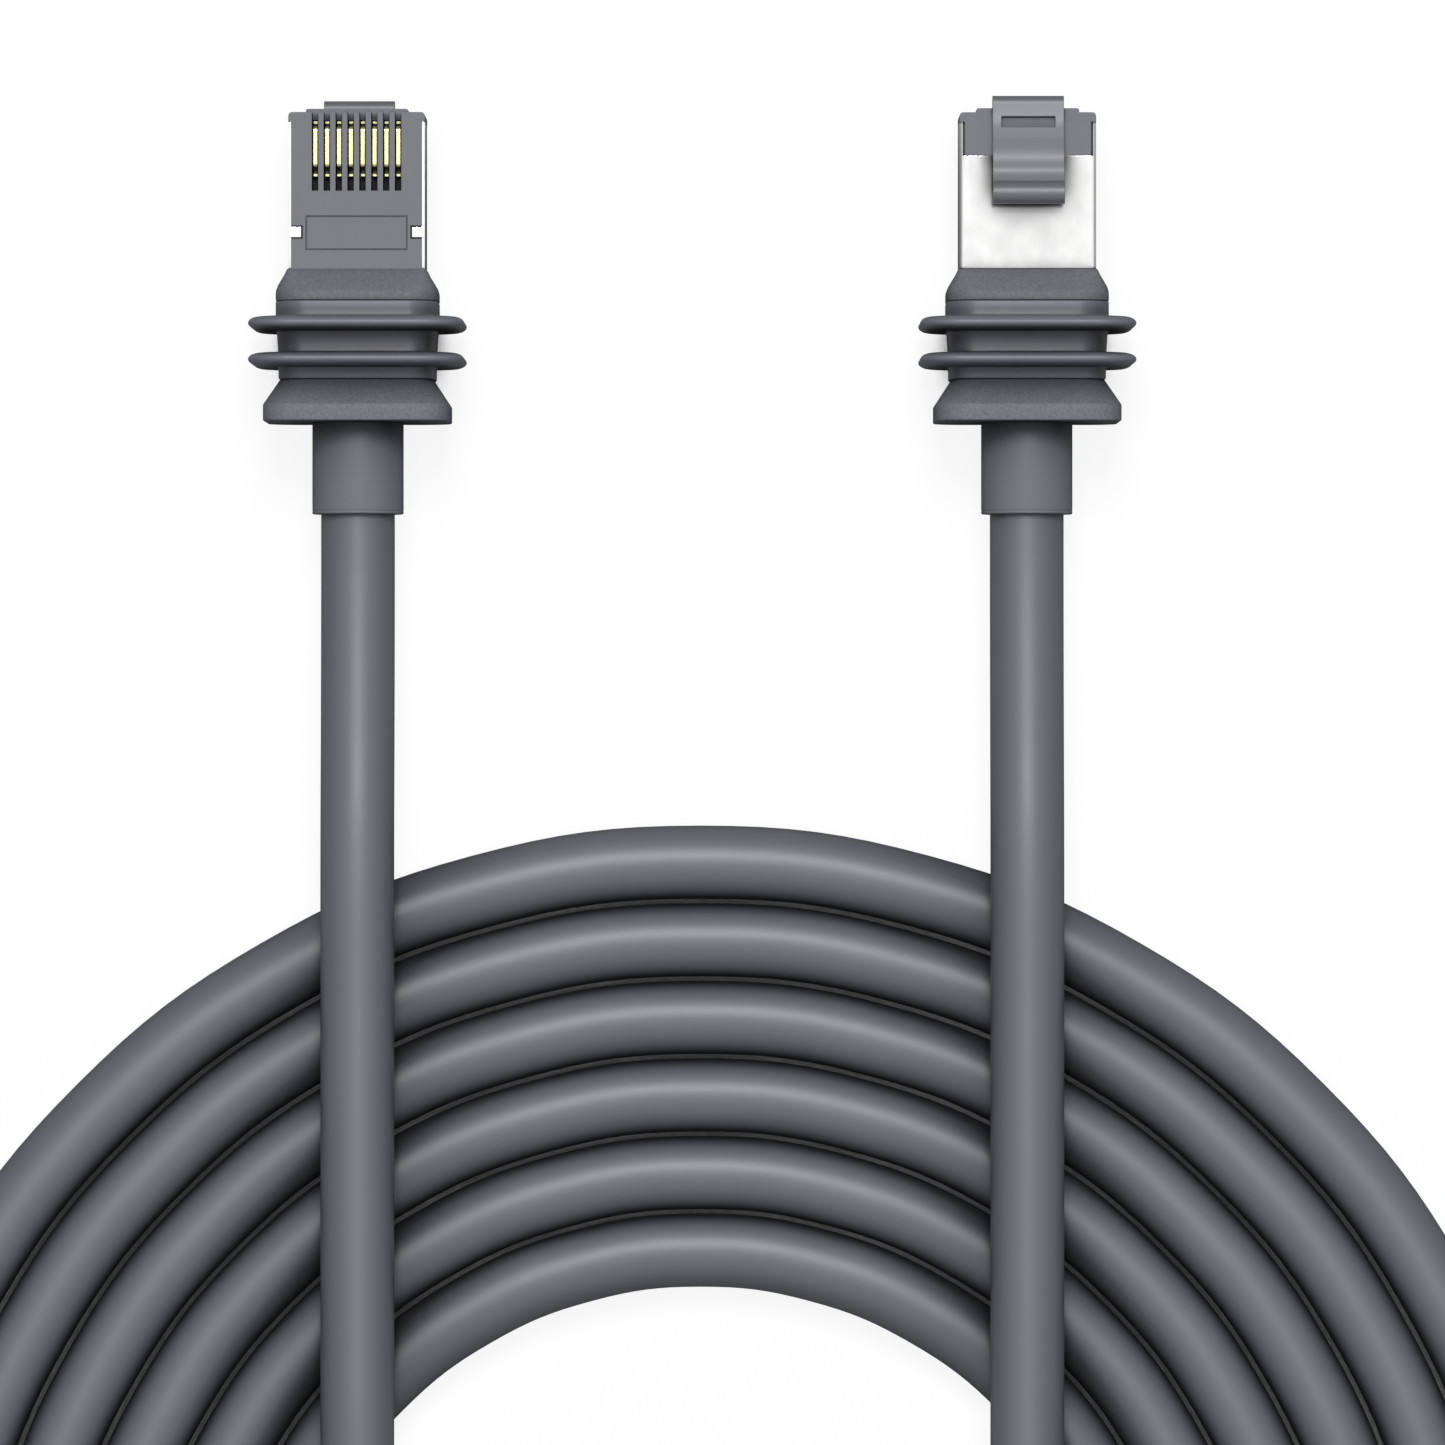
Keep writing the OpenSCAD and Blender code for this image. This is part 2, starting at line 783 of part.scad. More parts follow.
// Routes of the two free ends, as [x, y, climb]: climb 0 lies on the surface, 1 lies on the coil.
// Each starts straight down from its plug. Lead b's last points are [angle, inset, climb] round the coil's
// rim, the inset counted from the middle of the turn that would follow there.
straight_a = [
  [-36, 0.86], [-46, 1], [-60, 1], [-74, 1], [-88, 1], [-98, 1], [-106, 0.9], [-114, 0.65], [-122, 0.35]
];
route_a = concat(
  [for (p = straight_a) [-plug_x, p[0], p[1]]],
  [[-28.5, -129, 0.12], [-26.5, -137, 0], [-21.3, -145, 0], [-13.6, -151.7, 0], [-5, -155.4, 0]]
);
straight_b = [[-36, 0.86], [-46, 1], [-60, 1], [-74, 1], [-88, 1], [-100, 1], [-114, 1], [-128, 1]];
rim_b = [
  [254, 8.3, 1], [243, 4.8, 1], [233, 2.2, 1], [224, 0.6, 0.95], [215.5, -0.3, 0.74],
  [208, -0.5, 0.52], [200, -0.5, 0.27], [192, -0.55, 0.07]
];
function rim(p) = let (r = coil_radius(p[0] + 360 * (coil_turns - 1)) - p[1])
  [coil_shift + r * cos(p[0]), r * sin(p[0]) - coil_drop, p[2]];
route_b = concat(
  [for (p = straight_b) [plug_x, p[0], p[1]]],
  [
    [28.4, -140, 1], [26.3, -151.5, 1], [20.9, -162.5, 1],
    [13.4, -171.5, 1], [3.6, -179, 1], [-7.2, -183.5, 1]
  ],
  [for (p = rim_b) rim(p)]
);

function placed(route) = [for (p = route) [p.x, p.y, low_z + p.z * (high_z - low_z)]];
function lead_line(x, route, end, way) = concat(
  [[x, nose_y - plug_end, plug_z], [x, nose_y - plug_end - cable_d, plug_z]],
  placed(route),
  [end - cable_d * way, end]
);
lead_a_line = lead_line(-plug_x, route_a, coil_start, start_way);
lead_b_line = lead_line(plug_x, route_b, coil_end, -end_way);

function line_length(line) =
  norm(line[1] - line[0]) + (len(line) > 2 ? line_length([for (i = [1:len(line) - 1]) line[i]]) : 0);

// Least distance between the rings of neighbouring turns, on their corner points
coil_gap = min([
  for (i = [0:len(coil_line) - rings_per_turn - 1], j = [-1, 0, 1])
    let (k = min(i + rings_per_turn + j, len(coil_line) - 1))
      min([for (p = ring(coil_line, i, coil_section), q = ring(coil_line, k, coil_section)) norm(p - q)])
]);
echo(least_gap_between_turns_mm = coil_gap);
echo(cable_length_mm = line_length(lead_a_line) + line_length(coil_line) + line_length(lead_b_line));

module cable_coil() {
  color("dimgray")
    sweep(coil_line, coil_section);
}

module cable_lead_a() {
  color("dimgray")
    sweep(lead_a_line, round_section(cable_d, 12));
}

module cable_lead_b() {
  color("dimgray")
    sweep(lead_b_line, round_section(cable_d, 12));
}

// ---------- assembly ----------

// Plug a lies contacts up, plug b latch up
module at_a() {
  translate([-plug_x, nose_y, plug_z])
    rotate([90, 0, 0])
      children();
}

module at_b() {
  translate([plug_x, nose_y, plug_z])
    rotate([90, 0, 0])
      rotate([0, 0, 180])
        children();
}

at_a() plug_housing();  // plug_housing_a
at_b() plug_housing();  // plug_housing_b
at_a() latch();  // latch_a
at_b() latch();  // latch_b
at_a() contacts();  // contacts_a
at_b() contacts();  // contacts_b
at_a() shield_shell();  // shield_shell_a
at_b() shield_shell();  // shield_shell_b
at_a() wire_guide();  // wire_guide_a
at_b() wire_guide();  // wire_guide_b
at_a() color("orange") pair(0);  // pair_orange_a
at_b() color("orange") pair(0);  // pair_orange_b
at_a() color("green") pair(1);  // pair_green_a
at_b() color("green") pair(1);  // pair_green_b
at_a() color("blue") pair(2);  // pair_blue_a
at_b() color("blue") pair(2);  // pair_blue_b
at_a() color("brown") pair(3);  // pair_brown_a
at_b() color("brown") pair(3);  // pair_brown_b
at_a() pair_separator();  // pair_separator_a
at_b() pair_separator();  // pair_separator_b
at_a() foil_shield();  // foil_shield_a
at_b() foil_shield();  // foil_shield_b
at_a() shield_braid();  // shield_braid_a
at_b() shield_braid();  // shield_braid_b
at_a() crimp_ring();  // crimp_ring_a
at_b() crimp_ring();  // crimp_ring_b
at_a() boot_collar();  // boot_collar_a
at_b() boot_collar();  // boot_collar_b
at_a() boot_flange();  // boot_flange_a
at_b() boot_flange();  // boot_flange_b
at_a() seal();  // seal_a
at_b() seal();  // seal_b
at_a() strain_relief();  // strain_relief_a
at_b() strain_relief();  // strain_relief_b
at_a() jacket_end();  // jacket_end_a
at_b() jacket_end();  // jacket_end_b
cable_lead_a();
cable_coil();
cable_lead_b();
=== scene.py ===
"""Looks of a sealed, shielded patch cable: its finishes, cable, boots, plugs and studio."""

import logging
import math
from dataclasses import dataclass
from enum import Enum
from typing import NamedTuple

import bmesh
import bpy
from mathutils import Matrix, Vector


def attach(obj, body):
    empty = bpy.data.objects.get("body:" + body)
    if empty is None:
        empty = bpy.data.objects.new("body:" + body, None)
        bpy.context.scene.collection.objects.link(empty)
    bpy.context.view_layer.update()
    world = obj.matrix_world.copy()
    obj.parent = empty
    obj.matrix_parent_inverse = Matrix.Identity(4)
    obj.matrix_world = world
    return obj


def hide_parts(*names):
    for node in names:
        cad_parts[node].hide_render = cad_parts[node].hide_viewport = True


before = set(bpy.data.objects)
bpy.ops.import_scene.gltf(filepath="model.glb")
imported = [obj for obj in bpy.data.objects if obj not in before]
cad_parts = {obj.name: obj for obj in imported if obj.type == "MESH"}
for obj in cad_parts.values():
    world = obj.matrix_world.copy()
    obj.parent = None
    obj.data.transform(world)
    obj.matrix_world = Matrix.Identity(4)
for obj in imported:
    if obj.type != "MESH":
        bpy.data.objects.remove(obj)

log = logging.getLogger("patch_cable")

MM = 0.001
PLUG_PITCH = 57.5  # from one plug's axis to the other's, in millimetres
WHITE = (1.0, 1.0, 1.0, 1.0)
BLACK = (0.0, 0.0, 0.0, 1.0)

Socket = bpy.types.NodeSocket
Inputs = dict[str | int, object]
Outputs = bpy.types.NodeOutputs
Pair = tuple[float, float]
Colour = Point = Outline = tuple[float, float, float]

# Numbers of a Mix node's sockets, which has a pair for each kind of value.
FACTOR, LOW, HIGH, FIRST_COLOUR, SECOND_COLOUR = 0, 2, 3, 6, 7
MIXED_COLOUR = 2


class End(Enum):
    """The two ends of the cable, by the letter that ends their nodes' names."""

    A = "a"
    B = "b"

    def node(self, piece: str) -> str:
        """The CAD node of a piece at this end."""
        return f"{piece}_{self.value}"


# ---- shader building


@dataclass
class Shader:
    """The node tree of a material, the world or an effect, with short ways to build in it."""

    tree: bpy.types.NodeTree

    def add(self, kind: str, inputs: Inputs | None = None, **settings: object) -> bpy.types.Node:
        """Adds a node.

        Args:
            kind: The node's type name.
            inputs: What its inputs get, as in feed.
            **settings: Properties to set on the node.

        Returns:
            The new node.
        """
        node = self.tree.nodes.new(kind)
        for name, value in settings.items():
            setattr(node, name, value)
        self.feed(node, inputs or {})
        return node

    def feed(self, node: bpy.types.Node, inputs: Inputs) -> None:
        """Links or sets inputs of a node.

        Args:
            node: The node.
            inputs: An output to link or a constant for each input, by its name or number.
        """
        for key, value in inputs.items():
            if isinstance(value, Socket):
                self.tree.links.new(value, node.inputs[key])
            else:
                node.inputs[key].default_value = value

    def where(self) -> Socket:
        """The place on the object, which the patterns follow."""
        return self.add("ShaderNodeTexCoord").outputs["Object"]

    def math(self, operation: str, first: object, second: object) -> Socket:
        """The result of an operation on two sockets or numbers."""
        return self.add("ShaderNodeMath", {0: first, 1: second}, operation=operation).outputs[0]

    def mix(self, factor: Socket, first: object, second: object) -> Socket:
        """A mix of two colours, in which the factor is the second one's share."""
        inputs = {FACTOR: factor, FIRST_COLOUR: first, SECOND_COLOUR: second}
        return self.add("ShaderNodeMix", inputs, data_type="RGBA").outputs[MIXED_COLOUR]

    def pick(self, factor: Socket, low: object, high: object) -> Socket:
        """A blend of two values: low where the factor is 0, high where it is 1."""
        inputs = {FACTOR: factor, LOW: low, HIGH: high}
        return self.add("ShaderNodeMix", inputs, data_type="FLOAT").outputs[0]

    def dimmed(self, colour: Socket, level: object) -> Socket:
        """A colour scaled by a level."""
        return self.add("ShaderNodeVectorMath", {0: colour, "Scale": level}, operation="SCALE").outputs[0]

    def span(self, value: object, low: object, high: object, to_low: object, to_high: object) -> Socket:
        """Maps the range from low to high onto the one from to_low to to_high, and holds it there."""
        inputs = dict(enumerate((value, low, high, to_low, to_high)))
        return self.add("ShaderNodeMapRange", inputs, clamp=True).outputs[0]

    def noise(self, vector: Socket, scale: object, detail: float = 3.0, roughness: float = 0.5) -> Socket:
        """Noise around 0.5. Detail counts its octaves, roughness weighs the finer ones."""
        inputs = {"Vector": vector, "Scale": scale, "Detail": detail, "Roughness": roughness}
        return self.add("ShaderNodeTexNoise", inputs).outputs[0]

    def bump(self, height: Socket, depth: float, **under: Socket) -> Socket:
        """A normal bumped by a height field, in which 1 stands for the depth in metres."""
        inputs = {"Strength": 1.0, "Distance": depth, "Height": height, **under}
        return self.add("ShaderNodeBump", inputs).outputs[0]

    def group(self, name: str, **inputs: object) -> Outputs:
        """Places a shared effect and returns its outputs."""
        return self.add("ShaderNodeGroup", inputs, node_tree=bpy.data.node_groups[name]).outputs


class Kind(Enum):
    """What an effect's socket carries."""

    NUMBER = "NodeSocketFloat"
    VECTOR = "NodeSocketVector"
    COLOUR = "NodeSocketColor"


class Effect:
    """A shader group that several finishes share."""

    name: str
    takes: dict[str, Kind]
    gives: dict[str, Kind]

    def build(self) -> None:
        """Makes the group with its named sockets and fills it."""
        tree = bpy.data.node_groups.new(self.name, "ShaderNodeTree")
        for side, sockets in (("INPUT", self.takes), ("OUTPUT", self.gives)):
            for label, kind in sockets.items():
                tree.interface.new_socket(label, in_out=side, socket_type=kind.value)
        shader = Shader(tree)
        shader.add("NodeGroupOutput", self.fill(shader, shader.add("NodeGroupInput").outputs))

    def fill(self, shader: Shader, given: Outputs) -> Inputs:
        """Builds the nodes behind the group's inputs and returns what its outputs get, by name."""
        raise NotImplementedError


class SoftEdge(Effect):
    """Rounds sharp edges in the shading, as a mould's small radii do, and masks them for a painted
    highlight.
    """

    name = "soft edge"
    takes = {"Radius": Kind.NUMBER}
    gives = {"Normal": Kind.VECTOR, "Edge": Kind.NUMBER}
    flat_cosine = 0.995
    edge_cosine = 0.85

    def fill(self, shader: Shader, given: Outputs) -> Inputs:
        """See Effect.fill."""
        rounded = shader.add("ShaderNodeBevel", {"Radius": given["Radius"]}, samples=6).outputs[0]
        sharp = shader.add("ShaderNodeNewGeometry").outputs["Normal"]
        dot = shader.add("ShaderNodeVectorMath", {0: rounded, 1: sharp}, operation="DOT_PRODUCT")
        edge = shader.span(dot.outputs["Value"], self.flat_cosine, self.edge_cosine, 0.0, 1.0)
        return {"Normal": rounded, "Edge": edge}


class PaintedShade(Effect):
    """Masks slots, grooves and inner corners, which get painted shade: their colour stays darker than open
    faces.
    """

    name = "painted_shade"
    takes = dict.fromkeys(("Reach", "Closed", "Open", "Darkest"), Kind.NUMBER)
    gives = {"Open": Kind.NUMBER}
    samples = 6

    def fill(self, shader: Shader, given: Outputs) -> Inputs:
        """See Effect.fill."""
        reach = {"Distance": given["Reach"]}
        around = shader.add("ShaderNodeAmbientOcclusion", reach, samples=self.samples).outputs["AO"]
        return {"Open": shader.span(around, given["Closed"], given["Open"], given["Darkest"], 1.0)}


class SmoothPaintedShade(PaintedShade):
    """The same painted-shade mask without noise, for bright metal."""

    name = "smooth hollow"
    samples = 48


class FineGrain(Effect):
    """The even, fine grain of a spark-eroded mould."""

    name = "fine grain"
    takes = {"Size": Kind.NUMBER}
    gives = {"Height": Kind.NUMBER}
    cell_share = 0.6
    cloud_density = 0.6

    def fill(self, shader: Shader, given: Outputs) -> Inputs:
        """See Effect.fill."""
        where = shader.where()
        density = shader.math("DIVIDE", 1.0, given["Size"])
        cells = shader.add("ShaderNodeTexVoronoi", {"Vector": where, "Scale": density}, feature="SMOOTH_F1")
        coarser = shader.math("MULTIPLY", density, self.cloud_density)
        cloud = shader.noise(where, coarser, detail=4.0, roughness=0.65)
        pits = shader.math("MULTIPLY", cells.outputs["Distance"], self.cell_share)
        return {"Height": shader.math("ADD", pits, cloud)}


class Mottle(Effect):
    """Slow, faint changes of shade, as in any moulding or extrusion."""

    name = "mottle"
    takes = {"Color": Kind.COLOUR, "Amount": Kind.NUMBER, "Size": Kind.NUMBER}
    gives = {"Color": Kind.COLOUR, "Cloud": Kind.NUMBER}

    def fill(self, shader: Shader, given: Outputs) -> Inputs:
        """See Effect.fill."""
        cloud = shader.noise(shader.where(), shader.math("DIVIDE", 1.0, given["Size"]))
        swing = shader.math("MULTIPLY", shader.math("SUBTRACT", cloud, 0.5), given["Amount"])
        level = shader.math("ADD", 1.0, shader.math("MULTIPLY", swing, 2.0))
        return {"Color": shader.dimmed(given["Color"], level), "Cloud": cloud}


class DrawLines(Effect):
    """Fine lines along one direction, as rolling, stamping or extruding leaves them."""

    name = "draw lines"
    takes = {"Spacing": Kind.NUMBER, "Along": Kind.VECTOR}
    gives = {"Height": Kind.NUMBER}

    def fill(self, shader: Shader, given: Outputs) -> Inputs:
        """See Effect.fill."""
        place = {0: shader.where(), 1: given["Along"]}
        squeezed = shader.add("ShaderNodeVectorMath", place, operation="MULTIPLY").outputs[0]
        density = shader.math("DIVIDE", 1.0, given["Spacing"])
        return {"Height": shader.noise(squeezed, density, detail=2.0, roughness=0.6)}


EFFECTS = (SoftEdge(), PaintedShade(), SmoothPaintedShade(), FineGrain(), Mottle(), DrawLines())


# ---- finishes


@dataclass(frozen=True)
class Finish:
    """What every finish has: a name, a colour and a gloss.

    Attributes:
        name: The material's name.
        colour: Base colour, linear.
        roughness: Middle of the roughness range.
    """

    name: str
    colour: Colour
    roughness: float = 0.5

    def material(self) -> bpy.types.Material:
        """Makes the material once and returns it.

        Returns:
            The finish's material.
        """
        ready = bpy.data.materials.get(self.name)
        if ready:
            return ready
        made = bpy.data.materials.new(self.name)
        made.use_nodes = True
        shader = Shader(made.node_tree)
        shader.feed(made.node_tree.nodes["Principled BSDF"], self.shade(shader))
        return made

    def shade(self, shader: Shader) -> Inputs:
        """Builds the material's nodes and returns what the surface shader's inputs get, by name."""
        raise NotImplementedError


@dataclass(frozen=True)
class Shade:
    """How far painted shade darkens a surface's colour where other surfaces are near.

    Attributes:
        reach_mm: How far off a wall still counts.
        closed: Openness at which the painted shade is darkest.
        opened: Openness from which the surface keeps its colour.
        darkest: Share of the colour that the darkest place keeps.
    """

    reach_mm: float
    closed: float = 0.3
    opened: float = 0.75
    darkest: float = 0.1

    def kept(self, shader: Shader, effect: str) -> Socket:
        """The share of its colour that each place keeps under the painted shade, by the mask of an effect.
        """
        ramp = {"Closed": self.closed, "Open": self.opened, "Darkest": self.darkest}
        return shader.group(effect, Reach=self.reach_mm * MM, **ramp)["Open"]


@dataclass(frozen=True)
class MouldedPlastic(Finish):
    """Injection-moulded plastic or rubber with rounded edges, a fine grain and a slight mottle.

    Attributes:
        grain_mm: Size of the grain.
        grain_depth_mm: Depth of the grain.
        speckle: How strongly the grain shows in the shade, from 0 to 1.
        edge_mm: Radius of the mould's edges.
        painted_edge_highlight: How much lighter the rounded edges are painted, a painted highlight where
            they catch the light.
        mottle: How strong the mottle is.
        mottle_mm: Size of the mottle.
        painted_shades: Painted shade, darkening its colour in slots, corners and near other surfaces.
        specular: Specular level of the surface.
        highlight_share: How much of a rounded edge gets the painted highlight.
        gloss_swing: How far the roughness strays from its middle.
        grain_range: Heights of the grain's floor and crest.
    """

    grain_mm: float = 0.08
    grain_depth_mm: float = 0.002
    speckle: float = 0.1
    edge_mm: float = 0.1
    painted_edge_highlight: float = 0.15
    mottle: float = 0.04
    mottle_mm: float = 3.0
    painted_shades: tuple[Shade, ...] = ()
    specular: float = 0.2
    highlight_share: float = 0.8
    gloss_swing: float = 0.05
    grain_range: Pair = (0.45, 0.95)

    def shade(self, shader: Shader) -> Inputs:
        """See Finish.shade."""
        edge = shader.group("soft edge", Radius=self.edge_mm * MM)
        height = shader.group("fine grain", Size=self.grain_mm * MM)["Height"]
        size = self.mottle_mm * MM
        tint = shader.group("mottle", Color=(*self.colour, 1.0), Amount=self.mottle, Size=size)["Color"]
        # Painted highlight: rounded edges are painted lighter, as if they caught the light.
        highlight_colour = tuple(min(1.0, c * (1 + self.painted_edge_highlight)) for c in self.colour)
        highlight_mask = shader.math("MULTIPLY", edge["Edge"], self.highlight_share)
        colour = shader.mix(highlight_mask, tint, (*highlight_colour, 1.0))
        grain_and_painted_shade = shader.span(height, *self.grain_range, 1 - self.speckle, 1 + self.speckle)
        # Painted shade: the colour darkens in slots, corners and near other surfaces.
        for shade in self.painted_shades:
            grain_and_painted_shade = shader.math("MULTIPLY", grain_and_painted_shade, shade.kept(shader, "painted_shade"))
        smoothest, roughest = self.roughness - self.gloss_swing, self.roughness + self.gloss_swing
        return {
            "Base Color": shader.dimmed(colour, grain_and_painted_shade),
            "Roughness": shader.span(height, *self.grain_range, smoothest, roughest),
            "Normal": shader.bump(height, self.grain_depth_mm * MM, Normal=edge["Normal"]),
            "Specular IOR Level": self.specular,
        }


@dataclass(frozen=True)
class PlatedMetal(Finish):
    """Plated or drawn metal with fine lines along one direction.

    Attributes:
        line_mm: Spacing of the lines.
        line_depth_mm: Depth of the lines.
        along: Squeeze of the coordinates on each axis; the smallest is the lines' direction.
        edge_mm: Radius of the edges.
        painted_shades: Painted shade, darkening its colour in slots, corners and near other surfaces.
        mottle: How strong the mottle is.
        mottle_mm: Size of the mottle.
        cloud_range: Sums of lines and mottle at which the metal is glossiest and dullest.
        gloss_range: Shares of the roughness there.
    """

    line_mm: float = 0.05
    line_depth_mm: float = 0.0002
    along: Point = (1.0, 0.04, 1.0)
    edge_mm: float = 0.06
    painted_shades: tuple[Shade, ...] = ()
    mottle: float = 0.03
    mottle_mm: float = 2.0
    cloud_range: Pair = (0.7, 1.3)
    gloss_range: Pair = (0.8, 1.25)

    def shade(self, shader: Shader) -> Inputs:
        """See Finish.shade."""
        edge = shader.group("soft edge", Radius=self.edge_mm * MM)["Normal"]
        lines = shader.group("draw lines", Spacing=self.line_mm * MM, Along=self.along)["Height"]
        size = self.mottle_mm * MM
        tint = shader.group("mottle", Color=(*self.colour, 1.0), Amount=self.mottle, Size=size)
        colour = tint["Color"]
        # Painted shade and shadow: the colour darkens in slots, corners and near other surfaces.
        for shade in self.painted_shades:
            colour = shader.dimmed(colour, shade.kept(shader, "smooth hollow"))
        cloud = shader.math("ADD", lines, tint["Cloud"])
        ends = (self.roughness * share for share in self.gloss_range)
        return {
            "Base Color": colour,
            "Metallic": 1.0,
            "Roughness": shader.span(cloud, *self.cloud_range, *ends),
            "Normal": shader.bump(lines, self.line_depth_mm * MM, Normal=edge),
        }


@dataclass(frozen=True)
class WovenBraid(Finish):
    """Braided shield: two sets of thin strands that cross round the cable.

    Attributes:
        strand_mm: Width of a band of strands.
        slant: Angle of the strands to both sides, in radians.
        depth_mm: Height of a strand over the next.
        gap_shade_share: Share of the colour kept between strands, as painted shade.
        dulling: How much rougher it is between strands.
        wave: Length of a wave of Blender's texture at scale 1, in metres.
    """

    strand_mm: float = 0.45
    slant: float = 0.7
    depth_mm: float = 0.05
    gap_shade_share: float = 0.35
    dulling: float = 0.2
    wave: float = 0.31

    def shade(self, shader: Shader) -> Inputs:
        """See Finish.shade."""
        scale = self.wave / (self.strand_mm * MM)
        heights = []
        for slant in (self.slant, -self.slant):
            turn = {"Vector": shader.where(), "Rotation": (0.0, 0.0, slant)}
            bands = {"Vector": shader.add("ShaderNodeMapping", turn).outputs[0], "Scale": scale}
            heights.append(shader.add("ShaderNodeTexWave", bands, bands_direction="X").outputs["Fac"])
        weave = shader.math("MAXIMUM", *heights)
        # Painted shade between the strands.
        dark = (*(c * self.gap_shade_share for c in self.colour), 1.0)
        return {
            "Base Color": shader.mix(weave, dark, (*self.colour, 1.0)),
            "Metallic": 1.0,
            "Roughness": shader.span(weave, 0.0, 1.0, self.roughness + self.dulling, self.roughness),
            "Normal": shader.bump(weave, self.depth_mm * MM),
        }


# Painted light in these finishes: each Shade paints shade into the colour, and painted_edge_highlight
# paints a highlight on rounded edges (0.15 unless given). The housing's painted shade darkens its slots.
HOUSING = MouldedPlastic(
    "housing plastic", (0.18, 0.183, 0.199), 0.5, specular=0.1,
    grain_mm=0.05, grain_depth_mm=0.0005, speckle=0.04, painted_edge_highlight=0.0,
    painted_shades=(Shade(1.2, closed=0.34, opened=0.48, darkest=0.03),),
)
# Painted shade in the latch's recess and inner corners.
LATCH = MouldedPlastic(
    "latch plastic", (0.11, 0.113, 0.125), 0.43, specular=0.65,
    grain_mm=0.05, grain_depth_mm=0.0005, speckle=0.04, painted_edge_highlight=0.0,
    painted_shades=(Shade(1.2, closed=0.2, opened=0.8, darkest=0.2),),
)
# Painted highlight on the ridges and edges; painted shade in the joint grooves and on faces turned sideways
# or down.
BOOT = MouldedPlastic(
    "boot plastic", (0.149, 0.154, 0.17), 0.55, specular=0.15,
    grain_mm=0.16, grain_depth_mm=0.008, speckle=0.18, painted_edge_highlight=0.9,
    painted_shades=(Shade(0.45), Shade(20.0, closed=0.35, opened=0.94, darkest=0.3)),
)
# Painted shade between the lips and on faces turned sideways.
SEAL = MouldedPlastic(
    "seal rubber", (0.135, 0.142, 0.17), 0.45, specular=0.5,
    grain_mm=0.06, grain_depth_mm=0.0006, speckle=0.04,
    painted_shades=(
        Shade(2.4, closed=0.42, opened=0.88, darkest=0.06),
        Shade(12.0, opened=0.9, darkest=0.35),
    ),
)
# Painted shade on the sleeve's sides.
SLEEVE = MouldedPlastic(
    "sleeve rubber", (0.155, 0.164, 0.182), 0.5, specular=0.3,
    grain_mm=0.06, grain_depth_mm=0.0008, speckle=0.04,
    painted_shades=(Shade(14.0, closed=0.47, opened=0.96),),
)
# Painted shade darkens the cable's sides and where turns meet.
JACKET = MouldedPlastic(
    "cable jacket", (0.11, 0.116, 0.135), 0.46, specular=0.75,
    grain_mm=0.07, grain_depth_mm=0.0006, speckle=0.04, mottle=0.03,
    painted_shades=(Shade(12.0, closed=0.35, opened=0.97),),
)
GUIDE = MouldedPlastic("guide plastic", (0.02, 0.02, 0.022), 0.6)
# Painted shade at the blades' ends.
GOLD = PlatedMetal(
    "contact gold", (0.72, 0.72, 0.38), 0.34, line_mm=0.03, edge_mm=0.015,
    painted_shades=(Shade(0.7, opened=0.58, darkest=0.05),),
)
# Painted shadow of the latch on the plate, and painted shade on the side walls and near the boot.
SHELL = PlatedMetal(
    "shell metal", (0.9, 0.9, 0.895), 0.14, line_mm=0.04, edge_mm=0.04,
    painted_shades=(
        Shade(2.2, closed=0.62, opened=0.95, darkest=0.02),
        Shade(30.0, closed=0.5, opened=0.92, darkest=0.3),
    ),
)
RING = PlatedMetal("ring metal", (0.62, 0.62, 0.61), 0.35)
FOIL = PlatedMetal(
    "shield foil", (0.8, 0.82, 0.85), 0.25, line_mm=0.2, line_depth_mm=0.01, along=(1.0, 1.0, 1.0)
)
BRAID = WovenBraid("braid metal", (0.7, 0.66, 0.6), 0.35)
SEPARATOR = MouldedPlastic("separator plastic", (0.75, 0.74, 0.68), 0.5)
INSULATION = {
    f"pair_{name}": MouldedPlastic(f"{name} insulation", colour, 0.35, edge_mm=0.05)
    for name, colour in (
        ("orange", (0.8, 0.24, 0.03)), ("green", (0.03, 0.32, 0.07)),
        ("blue", (0.03, 0.11, 0.5)), ("brown", (0.18, 0.07, 0.025)),
    )
}

PIECE_FINISHES: dict[str, Finish] = {
    "plug_housing": HOUSING,
    "latch": LATCH,
    "contacts": GOLD,
    "shield_shell": SHELL,
    "wire_guide": GUIDE,
    **INSULATION,
    "pair_separator": SEPARATOR,
    "foil_shield": FOIL,
    "shield_braid": BRAID,
    "crimp_ring": RING,
    "jacket_end": JACKET,
}


# ---- cable


